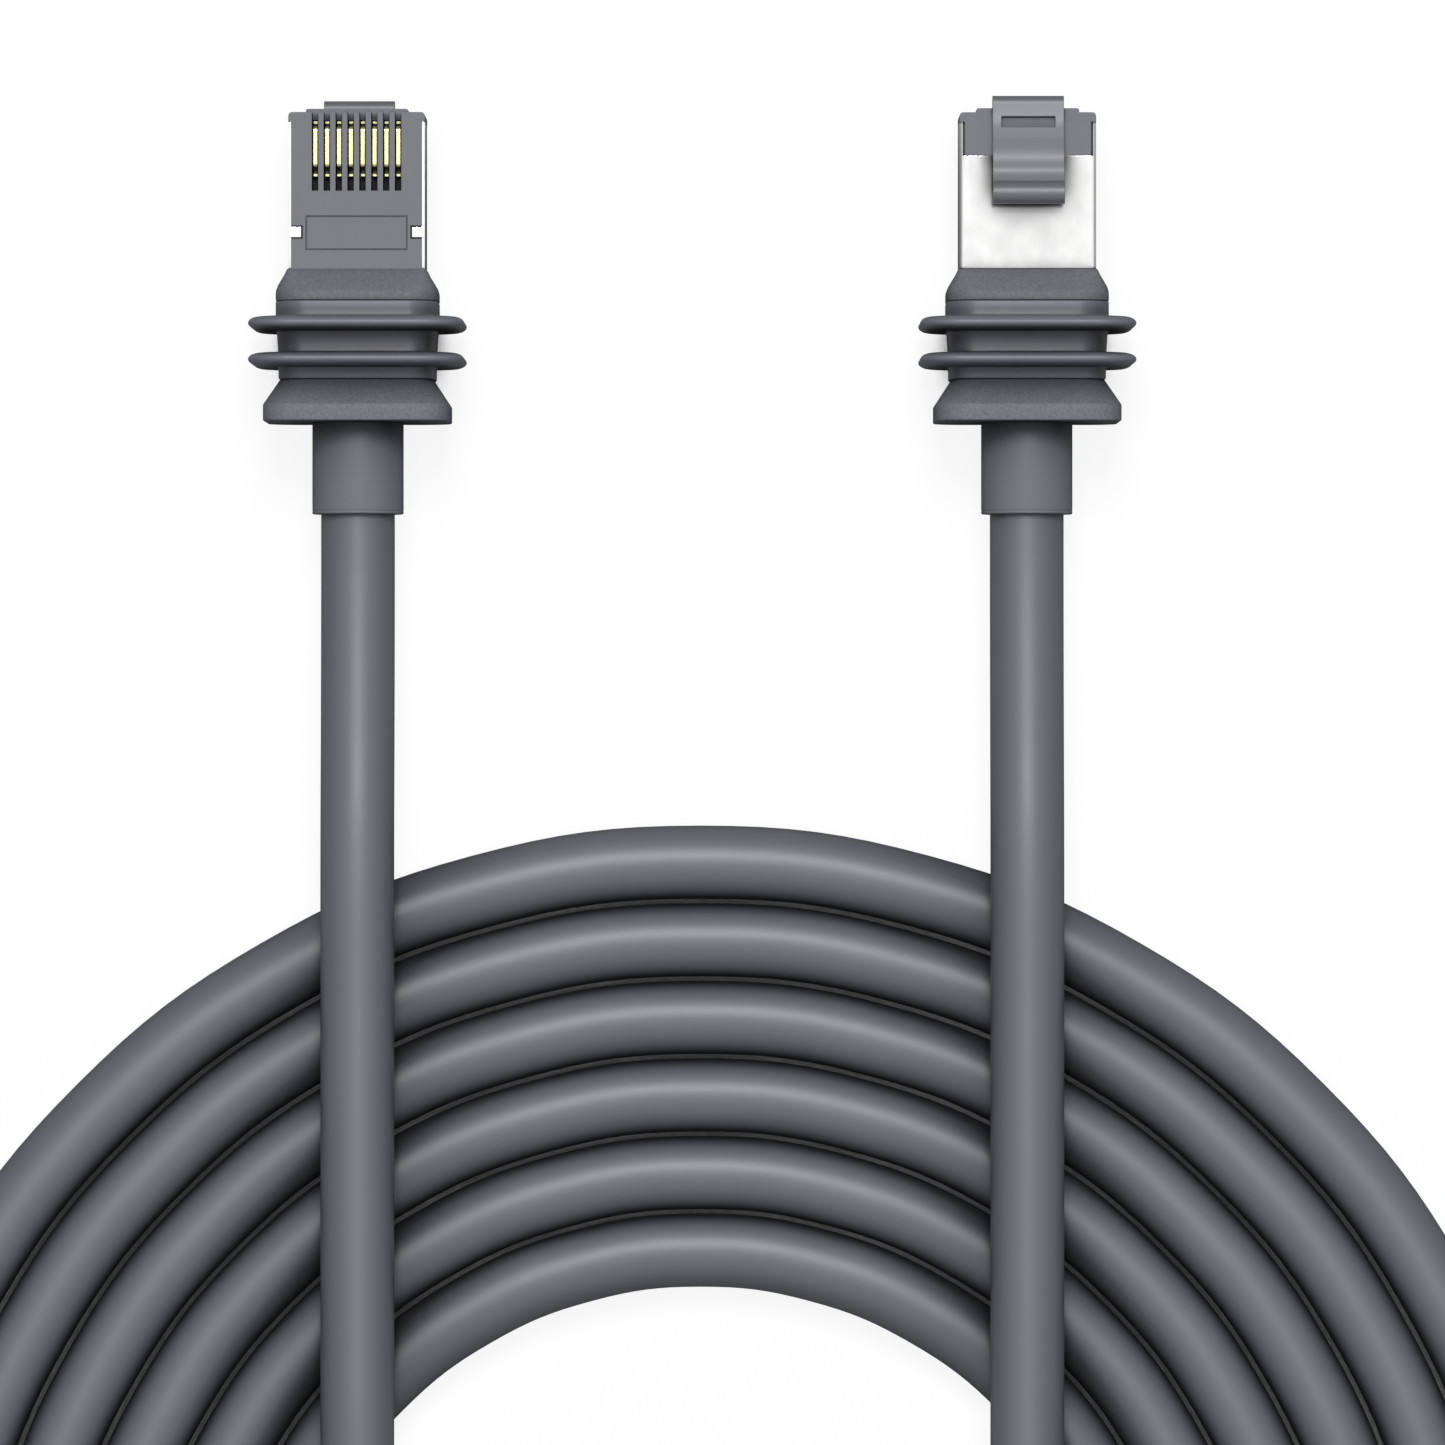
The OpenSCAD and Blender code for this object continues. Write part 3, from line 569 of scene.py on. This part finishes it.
@dataclass
class Cable:
    """The one cable: a lead from plug a, the flat coil wound outwards, and a lead to plug b.

    The route repeats the CAD model's. Sizes are in millimetres. A lead's points are x, y and climb:
    climb 0 lies on the surface, 1 lies on the coil.

    Attributes:
        diameter: Spacing diameter of the cable, as in the CAD model.
        jacket: Diameter that is shown.
        turn_gap: Space between neighbouring turns.
        turns: Times that the cable passes the top of the coil.
        inner_radius: Radius of the innermost turn's middle, at the top.
        centre: Middle of the coil.
        coil_from: Angle at which the coil begins, in degrees.
        step_from: Angle at which a turn begins to step out to the next.
        step_angle: Angle over which it steps out.
        tuck: How far the inner end is tucked towards the hole.
        tuck_angle: Angle over which it is tucked.
        ring_step: Angle between the route's points.
        plug_height: Height of the plugs' axes.
        sleeve_end: Y of the end of the boots.
        straight_a: Lead a's straight part, as y and climb.
        bend_a: Lead a's way into the coil.
        straight_b: Lead b's straight part, as y and climb.
        bend_b: Lead b's way over the coil.
        rim_b: Lead b's way down the coil's rim, as angle, inset and climb.
        over_coil: Space between the coil and a lead that lies on it.
    """

    diameter: float = 6.25
    jacket: float = 6.34
    turn_gap: float = 0.46
    turns: int = 6
    inner_radius: float = 39.5
    centre: Pair = (0.7, -120.9)
    coil_from: float = -75.0
    step_from: float = 165.0
    step_angle: float = 210.0
    tuck: float = 2.0
    tuck_angle: float = 45.0
    ring_step: float = 15.0
    plug_height: float = 8.0
    sleeve_end: float = -17.875
    straight_a: tuple[Pair, ...] = (
        (-36, 0.86), (-46, 1), (-60, 1), (-74, 1), (-88, 1), (-98, 1), (-106, 0.9), (-114, 0.65),
        (-122, 0.35),
    )
    bend_a: tuple[Point, ...] = (
        (-28.5, -129, 0.12), (-26.5, -137, 0), (-21.3, -145, 0), (-13.6, -151.7, 0), (-5, -155.4, 0),
    )
    straight_b: tuple[Pair, ...] = (
        (-36, 0.86), (-46, 1), (-60, 1), (-74, 1), (-88, 1), (-100, 1), (-114, 1), (-128, 1),
    )
    bend_b: tuple[Point, ...] = (
        (28.4, -140, 1), (26.3, -151.5, 1), (20.9, -162.5, 1), (13.4, -171.5, 1), (3.6, -179, 1),
        (-7.2, -183.5, 1),
    )
    rim_b: tuple[Point, ...] = (
        (254, 8.3, 1), (243, 4.8, 1), (233, 2.2, 1), (224, 0.6, 0.95), (215.5, -0.3, 0.74),
        (208, -0.5, 0.52), (200, -0.5, 0.27), (192, -0.55, 0.07),
    )
    over_coil: float = 0.2

    def radius(self, angle: float) -> float:
        """The coil's radius: round over the top, with a step outwards along the bottom of each turn.

        Args:
            angle: Degrees round the coil, anticlockwise from +X, more than 360 after a turn.

        Returns:
            The radius, in millimetres.
        """
        turn, part = divmod((angle - self.step_from) / 360, 1)
        t = min(1.0, part * 360 / self.step_angle)
        tucked = self.tuck * max(0.0, 1 - (angle - self.coil_from) / self.tuck_angle) ** 2
        return self.inner_radius + (self.diameter + self.turn_gap) * (turn + t * t * (3 - 2 * t)) - tucked

    def around(self, angle: float, radius: float, climb: float = 0.0) -> Vector:
        """A point round the coil's middle, in millimetres."""
        (x, y), turn = self.centre, math.radians(angle)
        return self.placed(x + radius * math.cos(turn), y + radius * math.sin(turn), climb)

    def placed(self, x: float, y: float, climb: float) -> Vector:
        """A point at its height between the surface and the top of the coil, in millimetres."""
        low, high = self.diameter / 2, 1.5 * self.diameter + self.over_coil
        return Vector((x, y, low + climb * (high - low)))

    def coil(self) -> list[Vector]:
        """Goes round the coil, from its inner end outwards.

        Returns:
            The coil's points, in millimetres.
        """
        last = 180 + 360 * (self.turns - 1)
        count = int((last - self.coil_from) / self.ring_step)
        angles = [self.coil_from + self.ring_step * k for k in range(count + 1)]
        return [self.around(angle, self.radius(angle)) for angle in angles]

    def plug_lead(self, x: float, straight: tuple[Pair, ...]) -> list[Vector]:
        """A lead's points from the plug at x down its straight part, given as y and climb."""
        start = Vector((x, self.sleeve_end, self.plug_height))
        return [start, start - Vector((0, self.diameter, 0)), *(self.placed(x, *way) for way in straight)]

    def route(self) -> list[Vector]:
        """Joins the leads and the coil into the whole cable.

        Returns:
            Its points, from plug a to plug b, in millimetres.
        """
        coil = self.coil()
        half = PLUG_PITCH / 2
        lead_a = self.plug_lead(-half, self.straight_a) + [self.placed(*p) for p in self.bend_a]
        lead_b = self.plug_lead(half, self.straight_b) + [self.placed(*p) for p in self.bend_b]
        outer = 360 * (self.turns - 1)
        for angle, inset, climb in self.rim_b:
            lead_b.append(self.around(angle, self.radius(angle + outer) - inset, climb))
        inwards = (coil[0] - coil[1]).normalized()
        onwards = (coil[-1] - coil[-2]).normalized()
        return [
            *lead_a, coil[0] + self.diameter * inwards, *coil,
            coil[-1] + self.diameter * onwards, *reversed(lead_b),
        ]

    def build(self) -> None:
        route = [p * MM for p in self.route()]
        curve = bpy.data.curves.new("cable", "CURVE")
        curve.dimensions = "3D"
        curve.resolution_u = 8
        curve.bevel_depth = self.jacket / 2 * MM
        curve.bevel_resolution = 10
        curve.use_fill_caps = True
        spline = curve.splines.new("BEZIER")
        spline.bezier_points.add(len(route) - 1)
        for knot, point in zip(spline.bezier_points, route, strict=True):
            knot.co = point
            knot.handle_left_type = knot.handle_right_type = "AUTO"
        cable = bpy.data.objects.new("cable", curve)
        bpy.context.collection.objects.link(cable)
        cable.data.materials.append(JACKET.material())
        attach(cable, "body")
        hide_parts("cable_lead_a", "cable_coil", "cable_lead_b")


# ---- boots


HAIR = 0.01


def disc(diameter: float) -> Outline:
    """The outline of a circle, but for a hair between its corners."""
    return diameter, diameter, diameter / 2 - HAIR


def between(first: Outline, last: Outline, share: float) -> Outline:
    """The outline that is a share of the way from the first to the last."""
    return tuple(a + (b - a) * share for a, b in zip(first, last, strict=True))


class Section(NamedTuple):
    """A rounded rectangle or a circle across a plug's axis. Sizes are in millimetres.

    Attributes:
        depth: Distance behind the plug's nose.
        width: Size across.
        height: Size upwards.
        corner: Radius of the corners.
    """

    depth: float
    width: float
    height: float
    corner: float

    def grown(self, *by: float) -> "Section":
        """The section with something added to its depth, width, height and corner."""
        return Section(*(value + more for value, more in zip(self, by, strict=True)))

    def set_in(self, joint: float) -> "Section":
        """The section, smaller all round by a joint's depth."""
        return self.grown(0.0, -2 * joint, -2 * joint, -joint)

    def add(self, axis: Vector, segments: int) -> None:
        """Adds the section's outline to the mesh in edit mode.

        Args:
            axis: Where the plug's axis leaves its nose, in millimetres.
            segments: Edges in each rounded corner.
        """
        middle = (axis - Vector((0, self.depth, 0))) * MM
        bpy.ops.mesh.primitive_plane_add(size=MM, location=middle, rotation=(math.pi / 2, 0, 0))
        bpy.ops.transform.resize(value=(self.width, 1, self.height), center_override=middle)
        bpy.ops.mesh.bevel(offset=self.corner * MM, segments=segments, affect="VERTICES")
        bpy.ops.mesh.delete(type="ONLY_FACE")


def stretches(*rows: tuple[Outline, float, float]) -> list[Section]:
    """Straight stretches: for each an outline, at the two depths between which it stays the same."""
    return [Section(depth, *outline) for outline, *depths in rows for depth in depths]


@dataclass
class Moulding:
    """A moulded ring round the cable, skinned over sections that run once round its wall.

    Attributes:
        name: The piece's name.
        node: The CAD piece that it stands for.
        slot: Its material slot in the record; not used.
        finish: What it is made of.
        sections: Its outlines, outer side first and then back along the bore.
        segments: Edges in each rounded corner.
        edge_mm: Width of the rounding on its edges.
    """

    name: str
    node: str
    slot: str
    finish: Finish
    sections: list[Section]
    segments: int = 12
    edge_mm: float = 0.04

    def bridge(self, first: int, second: int) -> None:
        """Joins two outlines of the mesh in edit mode with a band of faces.

        Args:
            first: Number of one outline.
            second: Number of the other.
        """
        bpy.ops.mesh.select_all(action="DESELECT")
        mesh = bmesh.from_edit_mesh(bpy.context.edit_object.data)
        mesh.verts.ensure_lookup_table()
        count = 4 * (self.segments + 1)
        for start in (first * count, second * count):
            ring = set(mesh.verts[start : start + count])
            for edge in {edge for vert in ring for edge in vert.link_edges}:
                if set(edge.verts) <= ring:
                    edge.select_set(True)
        mesh.select_flush_mode()
        bpy.ops.mesh.bridge_edge_loops(type="SINGLE")

    def skin(self, axis: Vector) -> bpy.types.Object:
        """Skins the sections into a closed mesh.

        Args:
            axis: Where the plug's axis leaves its nose, in millimetres.

        Returns:
            The piece.
        """
        bpy.ops.object.select_all(action="DESELECT")
        bpy.ops.mesh.primitive_plane_add(size=MM)
        piece = bpy.context.active_object
        bpy.ops.object.mode_set(mode="EDIT")
        bpy.ops.mesh.delete(type="VERT")
        for section in self.sections:
            section.add(axis, self.segments)
        bpy.ops.mesh.select_mode(type="EDGE")
        for number in range(len(self.sections)):
            self.bridge(number, (number + 1) % len(self.sections))
        bpy.ops.mesh.select_all(action="SELECT")
        bpy.ops.mesh.normals_make_consistent(inside=False)
        bpy.ops.object.mode_set(mode="OBJECT")
        return piece

    def finished(self, piece: bpy.types.Object) -> None:
        """Rounds the edges, smooths the shading and gives the piece its finish.

        Args:
            piece: The skinned piece, which is the active object.
        """
        rounding = piece.modifiers.new("edges", "BEVEL")
        rounding.width = self.edge_mm * MM
        rounding.segments = 2
        rounding.angle_limit = math.radians(28)
        bpy.ops.object.modifier_apply(modifier=rounding.name)
        bpy.ops.object.shade_smooth_by_angle(angle=math.radians(32))
        piece.data.materials.append(self.finish.material())

    def placed(self, piece: bpy.types.Object, end: End) -> None:
        """Names a piece and lets it stand for its CAD node.

        Args:
            piece: The finished piece.
            end: The plug that it belongs to.
        """
        piece.name = piece.data.name = f"{self.name}_{end.value}"
        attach(piece, "body")
        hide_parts(end.node(self.node))
        log.info("%s: %d faces", piece.name, len(piece.data.polygons))

    def build(self, axis: Vector) -> None:
        """Models the piece once and copies it to the other plug.

        Args:
            axis: Where plug a's axis leaves its nose, in millimetres.
        """
        piece = self.skin(axis)
        self.finished(piece)
        bpy.ops.object.duplicate(linked=False)
        copy = bpy.context.active_object
        bpy.ops.object.mode_set(mode="EDIT")
        bpy.ops.mesh.select_all(action="SELECT")
        bpy.ops.transform.translate(value=(PLUG_PITCH * MM, 0, 0))
        bpy.ops.object.mode_set(mode="OBJECT")
        self.placed(piece, End.A)
        self.placed(copy, End.B)


@dataclass
class Boot:
    """The sealing boot of each plug: collar, lipped seal, flange and strain-relief sleeve.

    Sizes are in millimetres and depths count from the plug's nose. An outline is a width, a height
    and a corner radius.

    Attributes:
        axis: Where plug a's axis leaves its nose.
        start: Depth of the collar's front.
        collar_end: Depth of the joint between collar and seal.
        seal_end: Depth of the joint between seal and flange.
        flange_end: Depth of the flange's back.
        end: Depth of the sleeve's end.
        face: Outline of the collar's and the seal's front.
        slope: The collar's taper, as distance from its front and outline.
        slope_end: Length of that taper.
        rows: Depths of the seal's outlines in front of and between the lips.
        straight: Length of the seal before it tapers.
        taper: Length of the seal's taper.
        waist: Outline of the seal behind it.
        lip_size: Outline of the lips' edge.
        lip_at: Depths of the lips.
        lip_half: Half of a lip's thickness.
        lip_round: How far the rounding of a lip's edge reaches inwards.
        lip_foot: The fillet at its foot, as share of the way out and distance from its face.
        lip_draft: Slope of its faces.
        lip_step: Degrees between the outlines round its edge.
        flange_root: Outline of the flange at the seal.
        root_edge: The chamfer there, as length and growth of the outline.
        flange_size: Outline of the flange.
        ridge_edge: The chamfer before the flange's ridge, the same way.
        flange_slope: Length of the flange's taper.
        core: Outline of the flange's core inside the seal.
        core_play: Play of the seal round the core.
        plug_pocket: Outline of the hole that holds the plug.
        plug_depth: Length of that hole.
        tail_pocket: Outline of the hole that holds the housing's tail.
        ring_from: Depth at which the bore widens for the crimp ring.
        ring_bore: Its diameter there.
        spigot_seat: Depth at which the sleeve's spigot stops.
        spigot_bore: Diameter of the hole that holds the spigot.
        spigot_from: Depth of the spigot's front.
        spigot_diameter: Its diameter.
        sleeve_diameter: Diameter of the sleeve.
        sleeve_bore: Diameter of its bore.
        sleeve_edge: The chamfer at its front, as length and loss of diameter.
        groove: The groove near its end and the end's chamfer, as distance from the end and loss.
        joint: Depth and half width of the grooves at the joints.
        seam: Space between two pieces' faces.
    """

    axis: Point = (-28.75, 16.875, 8.0)
    start: float = 13.8
    collar_end: float = 16.55
    seal_end: float = 23.25
    flange_end: float = 26.85
    end: float = 34.75
    face: Outline = (13.9, 10.9, 2.7)
    slope: tuple[tuple[float, float, float, float], ...] = (
        (0.0, 11.86, 6.86, 0.3), (0.04, 11.95, 7.0, 0.35), (0.5, 12.4, 7.95, 0.9), (1.0, 13.02, 8.9, 1.5),
        (1.45, 13.55, 9.76, 2.05), (1.8, 13.82, 10.42, 2.45), (2.02, 13.89, 10.84, 2.68),
    )
    slope_end: float = 2.12
    rows: Pair = (17.25, 19.9)
    straight: float = 1.2
    taper: float = 3.7
    waist: Outline = (13.38, 10.38, 2.1)
    lip_size: Outline = (18.48, 16.0, 3.5)
    lip_at: Pair = (18.48, 21.58)
    lip_half: float = 0.6
    lip_round: float = 1.15
    lip_foot: tuple[Pair, ...] = ((0.0, -0.2), (0.012, -0.09), (0.04, -0.03), (0.09, 0.0))
    lip_draft: float = 0.03
    lip_step: int = 10
    flange_root: Outline = (13.0, 10.1, 2.0)
    root_edge: tuple[float, ...] = (0.06, 0.14, 0.14, 0.05)
    flange_size: Outline = (15.94, 14.28, 2.75)
    ridge_edge: tuple[float, ...] = (-0.12, -0.1, -0.16, -0.04)
    flange_slope: float = 2.25
    core: Outline = (12.33, 9.08, 1.8)
    core_play: float = 0.06
    plug_pocket: Outline = (11.76, 6.66, 0.1)
    plug_depth: float = 1.65
    tail_pocket: Outline = (10.25, 6.66, 0.1)
    ring_from: float = 21.1
    ring_bore: float = 7.75
    spigot_seat: float = 24.3
    spigot_bore: float = 7.11
    spigot_from: float = 24.36
    spigot_diameter: float = 7.05
    sleeve_diameter: float = 7.85
    sleeve_bore: float = 6.36
    sleeve_edge: Pair = (0.06, 0.1)
    groove: tuple[Pair, ...] = (
        (0.36, 0.0), (0.33, 0.06), (0.28, 0.06), (0.25, 0.0), (0.08, 0.0), (0.0, 0.16),
    )
    joint: float = 0.08
    seam: float = 0.01

    def collar(self) -> Moulding:
        """Outlines the grained, tapered front of the boot.

        Returns:
            The piece, ready to be built.
        """
        seat = self.start + self.plug_depth
        outer = [
            *(Section(self.start + step, *outline) for step, *outline in self.slope),
            *stretches((self.face, self.start + self.slope_end, self.collar_end - self.joint)),
            Section(self.collar_end, *self.face).set_in(self.joint),
        ]
        bore = stretches((self.tail_pocket, self.collar_end, seat), (self.plug_pocket, seat, self.start))
        return Moulding("moulded_collar", "boot_collar", "boot_plastic", BOOT, outer + bore)

    def waist_at(self, depth: float) -> Section:
        """The seal's body at a depth: straight behind the collar, then tapering to the waist."""
        share = min(1.0, max(0.0, (depth - self.collar_end - self.straight) / self.taper))
        return Section(depth, *between(self.face, self.waist, share))

    def lip(self, middle: float) -> list[Section]:
        """Outlines a lip: a thin wall with a round edge, filleted into the seal's body.

        Args:
            middle: Depth of the lip's middle.

        Returns:
            Its outlines, front to back.
        """
        def out(share: float, depth: float) -> Section:
            """The outline that has gone a share of the way from the body to the lip's edge."""
            return Section(depth, *between(self.waist_at(depth)[1:], self.lip_size, share))

        wall = 1 - self.lip_round / ((self.lip_size[0] - self.waist[0]) / 2)
        half, draft, step = self.lip_half, self.lip_draft, self.lip_step
        side = [*self.lip_foot, (wall, draft)]
        rising = [out(share, middle - half + depth) for share, depth in side]
        edge = [
            out(wall + (1 - wall) * math.cos(turn), middle + (half - draft) * math.sin(turn))
            for turn in (math.radians(angle) for angle in range(step - 90, 90, step))
        ]
        falling = [out(share, middle + half - depth) for share, depth in reversed(side)]
        return rising + edge + falling

    def seal(self) -> Moulding:
        """Outlines the soft body with its two lips.

        Returns:
            The piece, ready to be built.
        """
        first, second = self.lip_at
        ahead, amid = self.rows
        outer = [
            self.waist_at(self.collar_end).set_in(self.joint),
            self.waist_at(self.collar_end + self.joint), self.waist_at(ahead),
            *self.lip(first), self.waist_at(amid), *self.lip(second),
            self.waist_at(self.seal_end - self.joint),
            self.waist_at(self.seal_end).set_in(self.joint),
        ]
        w, h, r = self.core
        hole = (w + self.core_play, h + self.core_play, r)
        bore = stretches((hole, self.seal_end, self.collar_end))
        return Moulding("moulded_seal", "seal", "seal_rubber", SEAL, outer + bore, edge_mm=0.02)

    def flange(self) -> Moulding:
        """Outlines the grained flange and the core inside the seal.

        Returns:
            The piece, ready to be built.
        """
        front = self.seal_end + self.seam
        ridge = self.seal_end + self.flange_slope
        outer = [
            *stretches((self.core, self.collar_end, front)),
            Section(front, *self.flange_root),
            Section(self.seal_end, *self.flange_root).grown(*self.root_edge),
            Section(ridge, *self.flange_size).grown(*self.ridge_edge),
            *stretches((self.flange_size, ridge, self.flange_end - self.joint)),
            Section(self.flange_end, *self.flange_size).set_in(self.joint),
        ]
        bore = stretches(
            (disc(self.spigot_bore), self.flange_end, self.spigot_seat),
            (disc(self.ring_bore), self.spigot_seat, self.ring_from),
            (self.tail_pocket, self.ring_from, self.collar_end),
        )
        return Moulding("moulded_flange", "boot_flange", "boot_plastic", BOOT, outer + bore)

    def sleeve(self) -> Moulding:
        """Outlines the round sleeve with its spigot and the groove near its end.

        Returns:
            The piece, ready to be built.
        """
        d = self.sleeve_diameter
        front = self.flange_end + self.seam
        length, loss = self.sleeve_edge
        outer = [
            *stretches((disc(self.spigot_diameter), self.spigot_from, front)),
            Section(front, *disc(d - loss)), Section(self.flange_end + length, *disc(d)),
            *(Section(self.end - step, *disc(d - less)) for step, less in self.groove),
        ]
        walls = outer + stretches((disc(self.sleeve_bore), self.end, self.spigot_from))
        return Moulding(
            "moulded_sleeve", "strain_relief", "sleeve_rubber", SLEEVE, walls, segments=14, edge_mm=0.02
        )

    def build(self) -> None:
        """Models the four pieces for both plugs."""
        for piece in (self.collar(), self.seal(), self.flange(), self.sleeve()):
            piece.build(Vector(self.axis))


# ---- plugs


@dataclass
class Plug:
    """One plug with its boot: the CAD pieces and their finishes."""

    end: End

    def dress(self) -> None:
        """Gives each CAD piece of the plug its finish."""
        for piece, finish in PIECE_FINISHES.items():
            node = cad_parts[self.end.node(piece)]
            for slot in node.material_slots:
                slot.material = finish.material()
        log.info("plug %s: %d pieces dressed", self.end.value, len(PIECE_FINISHES))


# ---- studio


@dataclass(frozen=True)
class Lamp:
    """A square soft lamp. Sizes are in metres.

    Attributes:
        name: The lamp's name.
        at: Where it hangs.
        size: Its width.
        power: Its power in watts.
        mirrored: Whether it shows in glossy surfaces.
    """

    name: str
    at: Point
    size: float
    power: float
    mirrored: bool = True

    def hang(self, aim: Point) -> None:
        """Adds the lamp, turned towards a point.

        Args:
            aim: The point.
        """
        data = bpy.data.lights.new(self.name, "AREA")
        data.shape = "SQUARE"
        data.size = self.size
        data.energy = self.power
        holder = bpy.data.objects.new(self.name, data)
        holder.location = self.at
        holder.visible_glossy = self.mirrored
        holder.rotation_euler = (Vector(aim) - Vector(self.at)).to_track_quat("-Z", "Y").to_euler()
        bpy.context.collection.objects.link(holder)


@dataclass
class Studio:
    """White floor and surroundings, two soft lamps, and the camera overhead. Sizes are in metres.

    The key lamp gives the highlights. The overhead lamp lights evenly and shows in no gloss. Glosses
    see white surroundings overhead and darker ones low down.

    Attributes:
        camera_at: Where the camera hangs.
        lens: Its focal length in millimetres.
        floor_size: Width of the floor.
        floor_drop: How far the floor lies under the object.
        aim: The point that the lamps are turned to.
        lamps: The lamps.
        fill: Level of the surroundings' light.
        low_gloss: Level of the surroundings low down, as glosses see them.
        gloss_heights: Sines of the elevations between which that level rises to white.
        gap: Reach, closed and open ends of the painted shade in narrow gaps.
        shadow: The same for the shadow that glosses see on the floor.
        paint_seen: Level of the floor's paint where it is seen.
        paint_light: Level of the paint where it lights the object.
        glow_share: How much of the floor, where it is seen, is plain white.
    """

    camera_at: Point = (0.00259, -0.03577, 0.8294)
    lens: float = 238.0
    floor_size: float = 6.0
    floor_drop: float = 0.0001
    aim: Point = (0.0, -0.05, 0.0)
    lamps: tuple[Lamp, ...] = (
        Lamp("key", (0.0, 0.38, 0.95), 0.3, 6.8),
        Lamp("overhead", (0.0, 0.0, 1.1), 0.5, 5.0, mirrored=False),
    )
    fill: float = 0.09
    low_gloss: float = 0.33
    gloss_heights: Pair = (0.2, 0.85)
    gap: Point = (0.006, 0.15, 0.36)
    shadow: Point = (0.015, 0.55, 1.0)
    paint_seen: float = 0.95
    paint_light: float = 0.12
    glow_share: float = 0.88

    def camera(self) -> None:
        """Puts the camera straight above the object, the plugs' noses upwards."""
        data = bpy.data.cameras.new("camera")
        data.lens = self.lens
        data.clip_start, data.clip_end = 0.01, 20.0
        holder = bpy.data.objects.new("camera", data)
        holder.location = self.camera_at
        bpy.context.collection.objects.link(holder)
        bpy.context.scene.camera = holder

    def shown(self, shader: Shader) -> Socket:
        """Masks the rays that show the background: the camera's, a gloss's and a clear piece's.

        Args:
            shader: The floor's tree.

        Returns:
            The mask.
        """
        path = shader.add("ShaderNodeLightPath").outputs
        mirrored = shader.math("MAXIMUM", path["Is Glossy Ray"], path["Is Transmission Ray"])
        return shader.math("MAXIMUM", path["Is Camera Ray"], mirrored)

    def openness(self, shader: Shader, reach: float, closed: float, opened: float) -> Socket:
        """How open the floor is within a reach: 0 from closed down, 1 from opened up."""
        around = shader.add("ShaderNodeAmbientOcclusion", {"Distance": reach}, samples=12)
        return shader.span(around.outputs["AO"], closed, opened, 0.0, 1.0)

    def floor(self) -> None:
        """Makes the floor: white where it is seen, with painted shade in narrow gaps and a painted shadow
        in glosses.
        """
        bpy.ops.object.select_all(action="DESELECT")
        bpy.ops.mesh.primitive_plane_add(size=self.floor_size, location=(0, 0, -self.floor_drop))
        floor = bpy.context.active_object
        floor.name = "floor"
        made = bpy.data.materials.new("floor")
        made.use_nodes = True
        shader = Shader(made.node_tree)
        made.node_tree.nodes.clear()
        seen = self.shown(shader)
        # The floor's glow is darkened by occlusion: painted shade in narrow gaps for the camera, a painted
        # shadow for glosses.
        gaps = self.openness(shader, *self.gap)
        shadow = shader.math("MULTIPLY", self.openness(shader, *self.shadow), self.low_gloss)
        camera = shader.add("ShaderNodeLightPath").outputs["Is Camera Ray"]
        open_air = shader.pick(camera, shadow, gaps)
        glow = shader.add("ShaderNodeEmission", {"Color": shader.mix(open_air, BLACK, WHITE)})
        greys = [(level, level, level, 1.0) for level in (self.paint_light, self.paint_seen)]
        paint = shader.add("ShaderNodeBsdfDiffuse", {"Color": shader.mix(seen, *greys)})
        share = shader.math("MULTIPLY", seen, self.glow_share)
        blend = shader.add("ShaderNodeMixShader", {"Fac": share, 1: paint.outputs[0], 2: glow.outputs[0]})
        shader.add("ShaderNodeOutputMaterial", {"Surface": blend.outputs[0]})
        floor.data.materials.append(made)

    def surroundings(self) -> None:
        """Makes the world: white where it is seen, darker low down in glosses, else a weak grey fill."""
        world = bpy.data.worlds.new("studio")
        bpy.context.scene.world = world
        world.use_nodes = True
        shader = Shader(world.node_tree)
        rays = shader.add("ShaderNodeLightPath").outputs
        aimed = shader.add("ShaderNodeTexCoord").outputs["Generated"]
        height = shader.add("ShaderNodeSeparateXYZ", {0: aimed}).outputs["Z"]
        mirrored = shader.span(height, *self.gloss_heights, self.low_gloss, 1.0)
        level = shader.pick(rays["Is Glossy Ray"], self.fill, mirrored)
        white = shader.math("MAXIMUM", rays["Is Camera Ray"], rays["Is Transmission Ray"])
        strength = shader.pick(white, level, 1.0)
        shader.feed(world.node_tree.nodes["Background"], {"Strength": strength, "Color": WHITE})

    def build(self) -> None:
        """Builds the studio apart from the camera."""
        self.floor()
        self.surroundings()
        for lamp in self.lamps:
            lamp.hang(self.aim)
        bpy.context.scene.view_settings.view_transform = "Standard"
        log.info("studio: floor, surroundings and %d lamps", len(self.lamps))


def main() -> None:
    """Builds the looks round the frame."""
    logging.basicConfig(level=logging.INFO)
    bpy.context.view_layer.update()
    studio = Studio()
    studio.camera()
    for effect in EFFECTS:
        effect.build()
    Cable().build()
    Boot().build()
    for end in End:
        Plug(end).dress()
    studio.build()


if __name__ == "__main__":
    main()
